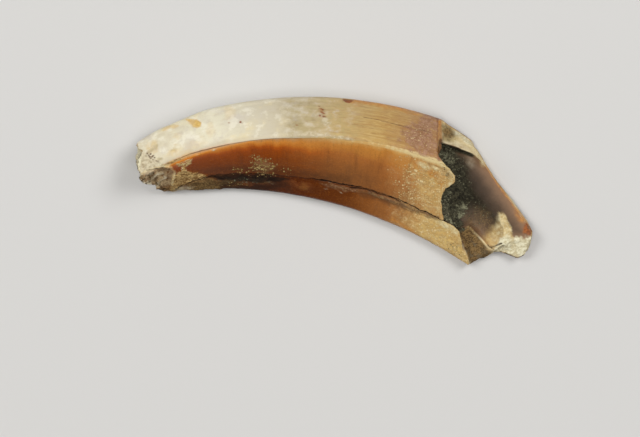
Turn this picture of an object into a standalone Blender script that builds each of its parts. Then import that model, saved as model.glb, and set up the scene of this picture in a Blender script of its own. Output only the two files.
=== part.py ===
"""A boar's lower canine, broken at both ends, lying on its wide flat side.

The tusk is one piece of enamel and dentine. Its plan is a band of a ring: the outer, convex keel
runs on one arc, and every section across it is a rounded triangle of keel, ridge and inner edge.
The root end is hollow. There the two near walls have broken away and the far wall stands on alone,
so the pulp cavity lies open. The tip end is a rough break across solid dentine.

Run it with blender --background --python part.py. It is in metres, with +Z up, and the tusk rests
on z = 0 with the middle of its length and width over the origin.
"""

import math

import bmesh
import bpy
from mathutils import Vector, noise

MM = 0.001
NAME = "tusk"

# The arc that the tusk grew along. A place on the tusk is a reach from the arc's centre, in mm, an
# angle along the arc, in degrees from +Y towards the root at +X, and a height over the table, in mm.
ARC_CENTRE_X = -3.4
ARC_CENTRE_Y = -40.4
KEEL_REACH = 51.0
RIDGE_REACH = 46.0
ROOT_WIDTH = 15.1
ROOT_WIDTH_ANGLE = 33.0
WIDTH_LOSS_PER_DEGREE_SQUARED = 0.0021

# The long crack in the posterior face, and the section's corners, as (angle, size) from tip to root.
CRACK_REACHES = ((-22.0, 42.7), (-15.0, 42.1), (-4.0, 40.9), (5.0, 40.3), (25.0, 39.1))
RIDGE_HEIGHTS = ((-28.0, 5.9), (-20.0, 7.3), (-8.0, 8.2), (12.0, 8.8), (30.0, 9.2))
KEEL_LIFTS = ((-28.0, 2.0), (-16.0, 1.1), (-2.0, 0.0), (30.0, 0.0))
KEEL_TAPER = ((-28.0, 1.0), (-21.0, 0.4), (-14.0, 0.0), (30.0, 0.0))
KEEL_RADII = ((-28.0, 1.2), (-16.0, 1.8), (0.0, 2.3), (30.0, 2.3))
RIDGE_RADIUS = 0.6
INNER_EDGE_RADIUS = 0.8
LABIAL_BULGE = 0.30
CRACK_HALF_WIDTH = 0.18
CRACK_DEPTH = 0.45
CRACK_LOWEST_SHARE = 0.92
ROOT_LIFT_ANGLE = 27.0
ROOT_LIFT_PER_DEGREE_SQUARED = 0.0065

# The pulp cavity where the near walls end, as (reach, height, radius) of its rounded corners. The
# inner corner's reach is its wall's, from (angle, reach) pairs: it steps in where a ledge stands.
MOUTH_ANGLE = 25.0
CAVITY_KEEL_CORNER = (47.0, 3.0, 1.7)
CAVITY_RIDGE_CORNER = (45.3, 5.9, 0.9)
CAVITY_INNER_HEIGHT = 2.2
CAVITY_INNER_RADIUS = 1.1
CAVITY_INNER_REACHES = (
    (25.5, 39.3), (27.1, 39.1), (28.3, 38.9), (29.3, 38.95), (30.7, 40.3), (36.8, 38.9), (38.3, 39.7),
    (41.2, 40.8),
)  # fmt: skip
CAVITY_MIDDLE = (44.6, 3.7)
CAVITY_APEX_ANGLE = -3.0
CAVITY_TAPER_POWER = 0.85
FLOOR_THINNING_PER_DEGREE = 0.02

# Where the break runs at the root, as (place round the section, angle along the arc). The place is
# 0 at the keel, 1 at the ridge, 2 at the crack, 3 at the inner edge and 4 back at the keel, and
# between two of them it is the share of their distance in plan.
OUTER_BREAK = (
    (0.00, 19.6), (0.03, 19.0), (0.30, 19.35), (0.55, 19.75), (0.81, 20.2), (0.96, 20.8),
    (1.01, 21.4), (1.04, 21.9), (1.07, 22.5), (1.10, 23.2), (1.14, 23.7), (1.18, 24.3),
    (1.24, 24.7), (1.30, 24.75), (1.38, 24.35), (1.46, 23.85), (1.54, 23.7), (1.60, 23.7),
    (1.72, 24.0), (1.79, 24.5), (1.90, 25.2), (2.00, 26.0), (2.03, 27.8), (2.13, 29.4),
    (2.33, 30.5), (2.64, 32.0), (2.86, 34.2), (3.01, 34.6), (3.04, 34.85), (3.065, 34.6),
    (3.10, 35.5), (3.13, 36.35), (3.20, 36.6), (3.255, 38.2), (3.275, 39.5), (3.30, 41.2),
    (3.36, 41.7), (3.42, 41.6), (3.48, 41.1), (3.555, 40.3), (3.585, 39.0), (3.605, 37.9),
    (3.663, 34.5), (3.70, 32.3), (3.75, 30.1), (3.81, 28.1), (3.87, 26.4), (3.905, 25.2),
    (3.935, 24.6), (3.95, 23.4), (3.965, 22.0), (3.98, 20.6), (4.00, 19.6),
)  # fmt: skip
INNER_BREAK = (
    (0.00, 20.5), (0.30, 20.9), (0.50, 20.8), (0.62, 20.3), (0.85, 20.6), (0.97, 21.3),
    (1.00, 21.8), (1.07, 22.5), (1.20, 23.5), (1.33, 24.0), (1.53, 23.75), (1.72, 23.25),
    (1.92, 23.4), (2.00, 24.6), (2.04, 26.6), (2.13, 27.9), (2.30, 28.7), (2.50, 29.1),
    (2.70, 29.4), (2.80, 29.7), (2.90, 30.3), (2.96, 30.8), (2.997, 31.4), (3.002, 33.2),
    (3.012, 35.2), (3.031, 36.9), (3.06, 37.3), (3.12, 37.7), (3.17, 38.0), (3.22, 38.6),
    (3.275, 39.7), (3.33, 40.5), (3.38, 40.6), (3.455, 39.9), (3.525, 38.7), (3.575, 37.6),
    (3.62, 36.4), (3.67, 34.2), (3.73, 32.0), (3.825, 29.8), (3.92, 27.7), (3.947, 27.0),
    (3.967, 26.1), (3.973, 25.2), (3.978, 23.9), (3.994, 22.7), (4.00, 20.5),
)  # fmt: skip

# Where the break runs at the tip, in the same places round the section.
TIP_BREAK = (
    (0.00, -25.7), (0.12, -25.9), (0.27, -25.4), (0.36, -26.2), (0.60, -27.2), (0.86, -27.4),
    (1.00, -27.2), (1.05, -25.7), (1.40, -25.3), (2.00, -25.4), (3.00, -25.4), (3.01, -26.0),
    (3.05, -26.1), (3.08, -27.1), (3.12, -27.8), (3.25, -28.0), (3.35, -27.6), (3.62, -27.3),
    (3.76, -26.7), (3.85, -26.0), (4.00, -25.7),
)  # fmt: skip
TIP_CAP_ANGLE = -27.0
TIP_CAP_ROUGHNESS = 0.4
RIM_ROUGHNESS = 0.2
ROUGHNESS_GRAIN = 0.55
ROUGHNESS_SEED = 5

# How many mesh columns each stretch of the section has, and how many rings each stretch of length.
KEEL_COLUMNS = 10
LABIAL_COLUMNS = 10
RIDGE_COLUMNS = 4
POSTERIOR_COLUMNS = 10
LOWER_COLUMNS = 7
INNER_EDGE_COLUMNS = 9
LINGUAL_COLUMNS = 26
CAP_RINGS = 5
OUTER_RINGS = 30
RIM_RINGS = 4
CAVITY_RINGS = 20

# Edges sharper than this, in degrees, are shaded as edges.
SHARP_ANGLE = 35.0

DENTINE_COLOUR = (0.62, 0.36, 0.14, 1.0)
DENTINE_ROUGHNESS = 0.45


def along(table, position):
    """The value at a position in a table of (position, value) pairs, straight between them."""
    if position <= table[0][0]:
        return table[0][1]
    for (start, low), (end, high) in zip(table, table[1:]):
        if position <= end:
            return low + (high - low) * (position - start) / (end - start)
    return table[-1][1]


def eased(table, position):
    """As along, but level at each pair, so that a height changes with no crease."""
    if position <= table[0][0]:
        return table[0][1]
    for (start, low), (end, high) in zip(table, table[1:]):
        if position <= end:
            share = (position - start) / (end - start)
            return low + (high - low) * share * share * (3 - 2 * share)
    return table[-1][1]


def tangent_normal(first, second):
    """Outward normal of the straight side that touches two corner circles (reach, height, radius)."""
    apart = math.hypot(second[0] - first[0], second[1] - first[1])
    ahead = ((second[0] - first[0]) / apart, (second[1] - first[1]) / apart)
    lean = (first[2] - second[2]) / apart
    square = math.sqrt(1.0 - lean * lean)
    return (ahead[0] * lean + ahead[1] * square, ahead[1] * lean - ahead[0] * square)


def arc_points(circle, first_normal, last_normal, columns):
    """Points of a corner's arc, both ends included, turning the way the section runs."""
    start = math.atan2(first_normal[1], first_normal[0])
    turn = (math.atan2(last_normal[1], last_normal[0]) - start) % (2 * math.pi)
    angles = (start + turn * column / columns for column in range(columns + 1))
    return [
        (circle[0] + circle[2] * math.cos(angle), circle[1] + circle[2] * math.sin(angle))
        for angle in angles
    ]


def side_points(start, end, columns, bulge=0.0):
    """Points inside a side from start to end, ends left out, bowed outward by the bulge."""
    length = math.hypot(end[0] - start[0], end[1] - start[1])
    outward = ((end[1] - start[1]) / length, (start[0] - end[0]) / length)
    points = []
    for column in range(1, columns):
        share = column / columns
        bow = bulge * 4 * share * (1 - share)
        points.append(
            (
                start[0] + (end[0] - start[0]) * share + outward[0] * bow,
                start[1] + (end[1] - start[1]) * share + outward[1] * bow,
            )
        )
    return points


def posterior_side(corners):
    """The two ends of the posterior side, at the ridge and at the inner edge, and its normal."""
    _, ridge, inner = corners
    normal = tangent_normal(ridge, inner)
    top = (ridge[0] + normal[0] * ridge[2], ridge[1] + normal[1] * ridge[2])
    foot = (inner[0] + normal[0] * inner[2], inner[1] + normal[1] * inner[2])
    return top, foot, normal


def section(corners, crack_share, crack_width, crack_depth, bulge):
    """One closed section, as (reach, height) points from the keel over the ridge and back below."""
    keel, ridge, inner = corners
    lingual = tangent_normal(inner, keel)
    labial = tangent_normal(keel, ridge)
    top, foot, posterior = posterior_side(corners)
    keel_arc = arc_points(keel, lingual, labial, KEEL_COLUMNS)
    ridge_arc = arc_points(ridge, labial, posterior, RIDGE_COLUMNS)
    inner_arc = arc_points(inner, posterior, lingual, INNER_EDGE_COLUMNS)
    length = math.hypot(foot[0] - top[0], foot[1] - top[1])

    def on_posterior(distance, depth):
        share = distance / length
        return (
            top[0] + (foot[0] - top[0]) * share - posterior[0] * depth,
            top[1] + (foot[1] - top[1]) * share - posterior[1] * depth,
        )

    crack = length * crack_share
    crack_top = on_posterior(crack - crack_width, 0.0)
    crack_foot = on_posterior(crack + crack_width, 0.0)
    return [
        *keel_arc,
        *side_points(keel_arc[-1], ridge_arc[0], LABIAL_COLUMNS, bulge),
        *ridge_arc,
        *side_points(top, crack_top, POSTERIOR_COLUMNS),
        crack_top,
        on_posterior(crack, crack_depth),
        crack_foot,
        *side_points(crack_foot, foot, LOWER_COLUMNS),
        *inner_arc,
        *side_points(inner_arc[-1], keel_arc[0], LINGUAL_COLUMNS),
    ]


def inner_edge_reach(angle):
    """Reach of the concave edge in plan: the tusk widens from the tip towards the root."""
    away = min(angle, ROOT_WIDTH_ANGLE) - ROOT_WIDTH_ANGLE
    return KEEL_REACH - ROOT_WIDTH + WIDTH_LOSS_PER_DEGREE_SQUARED * away * away


def root_lift(angle):
    """How far the root end curls up off the table."""
    beyond = max(0.0, angle - ROOT_LIFT_ANGLE)
    return ROOT_LIFT_PER_DEGREE_SQUARED * beyond * beyond


def outer_corners(angle):
    """Corner circles of the outside at an angle along the arc."""
    keel_reach = KEEL_REACH - eased(KEEL_TAPER, angle)
    lift = root_lift(angle)
    keel_radius = eased(KEEL_RADII, angle)
    keel_height = eased(KEEL_LIFTS, angle) + keel_radius + lift
    inner_reach = inner_edge_reach(angle) + INNER_EDGE_RADIUS
    return (
        (keel_reach - keel_radius, keel_height, keel_radius),
        (RIDGE_REACH, eased(RIDGE_HEIGHTS, angle) - RIDGE_RADIUS + lift, RIDGE_RADIUS),
        (inner_reach, INNER_EDGE_RADIUS + lift, INNER_EDGE_RADIUS),
    )


def crack_share(angle):
    """How far down the posterior face the long crack runs, as a share of the face."""
    top, foot, _ = posterior_side(outer_corners(angle))
    return min(CRACK_LOWEST_SHARE, (top[0] - along(CRACK_REACHES, angle)) / (top[0] - foot[0]))


def outer_section(angle):
    """Outside of the tusk at an angle, with the crack let into its posterior face."""
    return section(
        outer_corners(angle), crack_share(angle), CRACK_HALF_WIDTH, CRACK_DEPTH, LABIAL_BULGE
    )


def cavity_section(angle):
    """Pulp cavity at an angle: a cone inside the near walls, and a flaring trough beyond them."""
    depth = (angle - CAVITY_APEX_ANGLE) / (MOUTH_ANGLE - CAVITY_APEX_ANGLE)
    scale = min(1.0, max(0.0, depth)) ** CAVITY_TAPER_POWER
    beyond = max(0.0, angle - MOUTH_ANGLE)
    rise = root_lift(angle) - FLOOR_THINNING_PER_DEGREE * beyond
    inner_reach = along(CAVITY_INNER_REACHES, angle) + CAVITY_INNER_RADIUS
    corners = [
        (
            CAVITY_MIDDLE[0] + (reach - CAVITY_MIDDLE[0]) * scale,
            CAVITY_MIDDLE[1] + (height - CAVITY_MIDDLE[1]) * scale + rise,
            radius * scale,
        )
        for reach, height, radius in (
            CAVITY_KEEL_CORNER,
            CAVITY_RIDGE_CORNER,
            (inner_reach, CAVITY_INNER_HEIGHT, CAVITY_INNER_RADIUS),
        )
    ]
    return section(corners, crack_share(angle), CRACK_HALF_WIDTH * scale, 0.0, 0.0)


def places_round(points):
    """Each column's place round the section: 0 keel, 1 ridge, 2 crack, 3 inner edge, 4 keel again."""
    reaches = [reach for reach, _ in points]
    keel = reaches.index(max(reaches))
    ridge = KEEL_COLUMNS + LABIAL_COLUMNS + RIDGE_COLUMNS // 2
    crack = KEEL_COLUMNS + LABIAL_COLUMNS + RIDGE_COLUMNS + POSTERIOR_COLUMNS + 1
    inner = reaches.index(min(reaches))
    stops = [keel, ridge, crack, inner, len(points) + keel]
    places = [0.0] * len(points)
    for leg, (first, last) in enumerate(zip(stops, stops[1:])):
        span = reaches[last % len(points)] - reaches[first]
        for column in range(first, last):
            index = column % len(points)
            places[index] = leg + min(1.0, max(0.0, (reaches[index] - reaches[first]) / span))
    return places


def in_space(angle, reach, height):
    """The point of the part's own frame, in mm, at an angle, a reach and a height."""
    turn = math.radians(angle)
    return Vector(
        (
            ARC_CENTRE_X + reach * math.sin(turn),
            ARC_CENTRE_Y + reach * math.cos(turn),
            height,
        )
    )


def roughened(point, amount):
    """A point of a broken face, moved by the grain of the break but never below the table."""
    moved = point + noise.noise_vector(point * ROUGHNESS_GRAIN) * amount
    moved.z = max(moved.z, min(point.z, 0.0))
    return moved


def tusk_rings():
    """Rings of points from the middle of the tip's break, along the outside, and back up the cavity."""
    places = places_round(outer_section(MOUTH_ANGLE))
    cavity_places = places_round(cavity_section(MOUTH_ANGLE))
    starts = [along(TIP_BREAK, place) for place in places]
    outer_ends = [along(OUTER_BREAK, place) for place in places]
    cavity_ends = [along(INNER_BREAK, place) for place in cavity_places]
    columns = range(len(places))

    def outside(column, angle):
        return in_space(angle, *outer_section(angle)[column])

    def inside(column, angle):
        return in_space(angle, *cavity_section(angle)[column])

    tip_edge = [outside(column, starts[column]) for column in columns]
    tip_middle = sum(tip_edge, Vector()) / len(tip_edge)
    tip_middle = in_space(
        TIP_CAP_ANGLE, math.hypot(tip_middle.x - ARC_CENTRE_X, tip_middle.y - ARC_CENTRE_Y), tip_middle.z
    )
    rings = []
    for ring in range(1, CAP_RINGS):
        share = ring / CAP_RINGS
        rings.append(
            [roughened(tip_middle.lerp(edge, share), TIP_CAP_ROUGHNESS) for edge in tip_edge]
        )
    for ring in range(OUTER_RINGS + 1):
        share = ring / OUTER_RINGS
        rings.append(
            [
                outside(column, starts[column] + (outer_ends[column] - starts[column]) * share)
                for column in columns
            ]
        )
    outer_edge = rings[-1]
    cavity_edge = [inside(column, cavity_ends[column]) for column in columns]
    for ring in range(1, RIM_RINGS):
        share = ring / RIM_RINGS
        rings.append(
            [
                roughened(outer.lerp(inner, share), RIM_ROUGHNESS)
                for outer, inner in zip(outer_edge, cavity_edge)
            ]
        )
    for ring in range(CAVITY_RINGS):
        share = ring / CAVITY_RINGS
        rings.append(
            [
                inside(column, cavity_ends[column] + (CAVITY_APEX_ANGLE - cavity_ends[column]) * share)
                for column in columns
            ]
        )
    apex = in_space(CAVITY_APEX_ANGLE, *CAVITY_MIDDLE)
    return tip_middle, rings, apex


def tusk_mesh():
    """The tusk's closed skin: a fan at the tip, quads from ring to ring, and a fan at the apex."""
    noise.seed_set(ROUGHNESS_SEED)
    tip, rings, apex = tusk_rings()
    skin = bmesh.new()
    tip_vertex = skin.verts.new(tip * MM)
    apex_vertex = skin.verts.new(apex * MM)
    grid = [[skin.verts.new(point * MM) for point in ring] for ring in rings]
    for ring, following in zip(grid, grid[1:]):
        for column, vertex in enumerate(ring):
            after = (column + 1) % len(ring)
            skin.faces.new((vertex, ring[after], following[after], following[column]))
    for column, vertex in enumerate(grid[0]):
        skin.faces.new((tip_vertex, grid[0][(column + 1) % len(grid[0])], vertex))
        skin.faces.new((grid[-1][column], grid[-1][(column + 1) % len(grid[-1])], apex_vertex))
    bmesh.ops.recalc_face_normals(skin, faces=skin.faces)
    bmesh.ops.triangulate(skin, faces=skin.faces)
    mesh = bpy.data.meshes.new(NAME)
    skin.to_mesh(mesh)
    skin.free()
    mesh.shade_smooth()
    mesh.set_sharp_from_angle(angle=math.radians(SHARP_ANGLE))
    return mesh


def dentine():
    """Amber-brown dentine, as most of the broken tusk shows."""
    material = bpy.data.materials.new("dentine")
    material.use_nodes = True
    shader = material.node_tree.nodes["Principled BSDF"]
    shader.inputs["Base Color"].default_value = DENTINE_COLOUR
    shader.inputs["Roughness"].default_value = DENTINE_ROUGHNESS
    shader.inputs["Metallic"].default_value = 0.0
    return material


def main():
    """Clears the scene and builds the tusk in a collection of its own."""
    for obj in list(bpy.data.objects):
        bpy.data.objects.remove(obj)
    collection = bpy.data.collections.new("boar_tusk")
    bpy.context.scene.collection.children.link(collection)
    mesh = tusk_mesh()
    mesh.materials.append(dentine())
    collection.objects.link(bpy.data.objects.new(NAME, mesh))


main()
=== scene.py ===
"""Looks of a broken boar's tusk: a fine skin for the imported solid, its finishes and a studio.

The skin follows the same section and the same breaks as the solid. Its places are kept in mm as a
reach from the centre of the arc that the tusk grew along, an angle along that arc and a height. The
marks on it are placed by pixels of the photograph, which is 640 x 437 and was taken from straight
above.
"""

import logging
import math
from dataclasses import dataclass
from enum import Enum

import bpy
import numpy as np
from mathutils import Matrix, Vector


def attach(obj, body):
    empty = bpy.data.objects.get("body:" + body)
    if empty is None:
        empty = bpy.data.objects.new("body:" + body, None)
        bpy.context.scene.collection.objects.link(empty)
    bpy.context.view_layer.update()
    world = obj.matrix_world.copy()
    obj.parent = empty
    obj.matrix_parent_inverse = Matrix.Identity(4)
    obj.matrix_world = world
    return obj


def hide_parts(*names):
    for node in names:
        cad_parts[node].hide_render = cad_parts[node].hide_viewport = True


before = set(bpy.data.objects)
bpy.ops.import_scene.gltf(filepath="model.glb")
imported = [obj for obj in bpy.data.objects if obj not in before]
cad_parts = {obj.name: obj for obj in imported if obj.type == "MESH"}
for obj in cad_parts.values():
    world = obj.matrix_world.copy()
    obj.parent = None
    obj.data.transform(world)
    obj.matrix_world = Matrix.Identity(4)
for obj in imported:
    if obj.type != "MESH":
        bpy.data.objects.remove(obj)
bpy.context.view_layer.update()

Array = np.ndarray
Pair = tuple[float, float]
Triple = tuple[float, float, float]
Window = tuple[float, float, float, float]
Colour = Triple
Pairs = tuple[Pair, ...]
Stops = tuple[tuple[float, Colour], ...]

MM = 0.001
NODE = "tusk"
PIECE = "boar_tusk"
log = logging.getLogger("tusk")


def smooth(share: Array) -> Array:
    """Eases a share from 0 to 1, level at both ends."""
    held = np.clip(share, 0.0, 1.0)
    return held * held * (3.0 - 2.0 * held)


def ramp(value: Array, low: float, high: float) -> Array:
    """Eased rise from 0 at low to 1 at high; it falls where low is the greater of the two."""
    return smooth((value - low) / (high - low))


@dataclass(frozen=True)
class Table:
    """Values at a few positions, as (position, value) pairs in rising order."""

    pairs: Pairs

    def straight(self, at: Array) -> Array:
        """The value at each position, straight between the pairs."""
        positions, values = zip(*self.pairs)
        return np.interp(at, positions, values)

    def eased(self, at: Array) -> Array:
        """The value at each position, level at each pair.

        Args:
            at: the positions.

        Returns:
            The values.
        """
        positions, values = (np.array(row) for row in zip(*self.pairs))
        leg = np.clip(np.searchsorted(positions, at, side="right") - 1, 0, len(positions) - 2)
        share = smooth((at - positions[leg]) / (positions[leg + 1] - positions[leg]))
        return values[leg] + (values[leg + 1] - values[leg]) * share


class Grain:
    """A smooth random field, fixed by its seed, of values from about -1 to 1."""

    CELLS = 256
    OCTAVE_STEP = 2.03
    OCTAVE_SHIFT = 17.3
    REACH_OF_SLOPES = 1.5

    def __init__(self, seed: int, size: float, octaves: int, fall: float) -> None:
        """Draws the field's slopes.

        Args:
            seed: which of all such fields this one is.
            size: how far apart its bumps are, in mm.
            octaves: how many finer fields are laid on the first.
            fall: the strength of each finer field, as a share of the last.
        """
        draw = np.random.default_rng(seed)
        self.order = draw.permutation(self.CELLS)
        slopes = draw.normal(size=(self.CELLS, 3))
        self.slopes = slopes / np.linalg.norm(slopes, axis=1, keepdims=True)
        self.size = size
        self.octaves = octaves
        self.fall = fall

    def at(self, points: Array) -> Array:
        """The field's value.

        Args:
            points: places in mm, with x, y and z on the last axis.

        Returns:
            One value for each place.
        """
        total = np.zeros(points.shape[:-1])
        scaled = points / self.size
        strength = self.REACH_OF_SLOPES
        for octave in range(self.octaves):
            total += strength * self._single(scaled + self.OCTAVE_SHIFT * octave)
            scaled = scaled * self.OCTAVE_STEP
            strength *= self.fall
        return total

    def _single(self, scaled: Array) -> Array:
        """One octave, from the slopes at the eight corners of each place's cell.

        Args:
            scaled: places, in cells of the field.

        Returns:
            One value for each place.
        """
        cell = np.floor(scaled).astype(int)
        inside = scaled - cell
        blend = inside**3 * (inside * (inside * 6.0 - 15.0) + 10.0)
        total = np.zeros(scaled.shape[:-1])
        for corner in np.ndindex(2, 2, 2):
            index = np.zeros(total.shape, int)
            weight = np.ones(total.shape)
            for axis, step in enumerate(corner):
                index = self.order[(index + cell[..., axis] + step) % self.CELLS]
                weight = weight * (blend[..., axis] if step else 1.0 - blend[..., axis])
            total += weight * (self.slopes[index] * (inside - corner)).sum(-1)
        return total

    def shift(self, points: Array) -> Array:
        """A move in all three directions for each place, each from about -1 to 1."""
        apart = np.array(((0.0, 0.0, 0.0), (31.7, 5.3, 11.9), (7.1, 43.3, 23.7)))
        return np.stack([self.at(points + move * self.size) for move in apart], axis=-1)


@dataclass(frozen=True)
class Bumps:
    """Random bumps on a shape.

    Attributes:
        height: how high they are, in the unit of what they move.
        size: how far apart they are, in mm.
        seed: which of all such fields draws them.
        octaves: how many finer fields are laid on the first.
        fall: the strength of each finer field, as a share of the last.
    """

    height: float
    size: float
    seed: int
    octaves: int
    fall: float

    def grain(self) -> Grain:
        """The field that draws them."""
        return Grain(self.seed, self.size, self.octaves, self.fall)

    def at(self, points: Array) -> Array:
        """Their height at each place."""
        return self.grain().at(points) * self.height

    def shift(self, points: Array) -> Array:
        """How far they move each place, in all three directions."""
        return self.grain().shift(points) * self.height


class Stretch(Enum):
    """The stretches of the section, in order, from under the keel over the ridge and back below."""

    KEEL = 0
    LABIAL = 1
    RIDGE = 2
    POSTERIOR = 3
    CRACK = 4
    LOWER = 5
    INNER_EDGE = 6
    LINGUAL = 7


class Region(Enum):
    """The stretches of the skin's length, from the tip's break to the end of the pulp cavity."""

    TIP = 0
    OUTSIDE = 1
    RIM = 2
    HOLLOW = 3


@dataclass(frozen=True)
class Corner:
    """A rounded corner of the section: a circle whose centre is reach + height i, in mm."""

    centre: Array
    radius: Array

    def touch(self, normal: Array) -> Array:
        """The circle's point on the side that the normal points to."""
        return self.centre + normal * self.radius

    def arc(self, first: Array, last: Array, share: Array) -> Array:
        """The circle's point at a share of the turn from the first normal to the last."""
        turn = np.angle(last / first) % (2.0 * math.pi)
        return self.touch(first * np.exp(1j * turn * share))

    def facing(self, other: "Corner") -> Array:
        """Works out the straight side from this corner to the next one.

        Args:
            other: the next corner.

        Returns:
            The outward normal, of length 1.
        """
        apart = other.centre - self.centre
        lean = (self.radius - other.radius) / np.abs(apart)
        return apart / np.abs(apart) * (lean - 1j * np.sqrt(1.0 - lean * lean))


def side(start: Array, end: Array, share: Array, bulge: float = 0.0) -> Array:
    """The point at a share of a side of the section, bowed outward by the bulge."""
    outward = -1j * (end - start) / np.abs(end - start)
    return start + (end - start) * share + outward * bulge * 4.0 * share * (1.0 - share)


@dataclass(frozen=True)
class Opening:
    """How the long crack opens at each angle: sizes in mm, its place as a share of the face."""

    share: Array
    half_width: Array
    depth: Array
    drop: Array


@dataclass(frozen=True)
class Columns:
    """The skin's columns, which run along the tusk: the stretch that each is in, and where in it.

    Attributes:
        plan: (stretch, how many columns, how much they crowd towards its ends, from 0 to 1).
    """

    plan: tuple[tuple[Stretch, int, float], ...] = (
        (Stretch.KEEL, 40, 0.0),
        (Stretch.LABIAL, 38, 0.0),
        (Stretch.RIDGE, 14, 0.0),
        (Stretch.POSTERIOR, 62, 0.6),
        (Stretch.CRACK, 9, 0.0),
        (Stretch.LOWER, 26, 0.4),
        (Stretch.INNER_EDGE, 18, 0.0),
        (Stretch.LINGUAL, 82, 0.0),
    )

    def count(self) -> int:
        """How many columns there are."""
        return sum(count for _, count, _ in self.plan)

    def span(self, stretch: Stretch) -> slice:
        """The columns of a stretch."""
        start = sum(count for place, count, _ in self.plan if place.value < stretch.value)
        return slice(start, start + self.plan[stretch.value][1])

    def shares(self, stretch: Stretch) -> Array:
        """Works out where the columns of a stretch lie.

        Args:
            stretch: which stretch.

        Returns:
            The place of each of its columns, as a share of it.
        """
        _, count, crowding = self.plan[stretch.value]
        even = np.arange(count) / count
        return even + (smooth(even) - even) * crowding

    def place(self, stretch: Stretch) -> int:
        """The column in the middle of a stretch."""
        span = self.span(stretch)
        return (span.start + span.stop) // 2


@dataclass(frozen=True)
class View:
    """The photograph's camera: straight above, with its scale in pixels to the millimetre."""

    frame_px: Pair = (640.0, 437.0)
    px_per_mm: float = 7.85
    scale_height: float = 2.0
    camera: Triple = (-1.911, -4.904, 566.0)

    def in_photo(self, points: Array) -> Array:
        """Finds points in the photograph.

        Args:
            points: the points, in mm.

        Returns:
            Their pixel x and y, on the last axis.
        """
        near = (self.camera[2] - self.scale_height) / (self.camera[2] - points[..., 2])
        across = (points[..., 0] - self.camera[0]) * self.px_per_mm * near
        up = (points[..., 1] - self.camera[1]) * self.px_per_mm * near
        return np.stack((self.frame_px[0] / 2.0 + across, self.frame_px[1] / 2.0 - up), axis=-1)

    def in_plan(self, pixels: Array, height: float) -> Array:
        """Finds where pixels of the photograph lie.

        Args:
            pixels: pixel x and y, on the last axis.
            height: how high over the table what they show lies, in mm.

        Returns:
            Their x and y, in mm.
        """
        near = (self.camera[2] - self.scale_height) / (self.camera[2] - height)
        away = (pixels - np.array(self.frame_px) / 2.0) / (self.px_per_mm * near)
        return away * np.array((1.0, -1.0)) + np.array(self.camera[:2])

    def width(self) -> float:
        """The width of the photograph where its scale holds, in mm."""
        return self.frame_px[0] / self.px_per_mm


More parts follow.
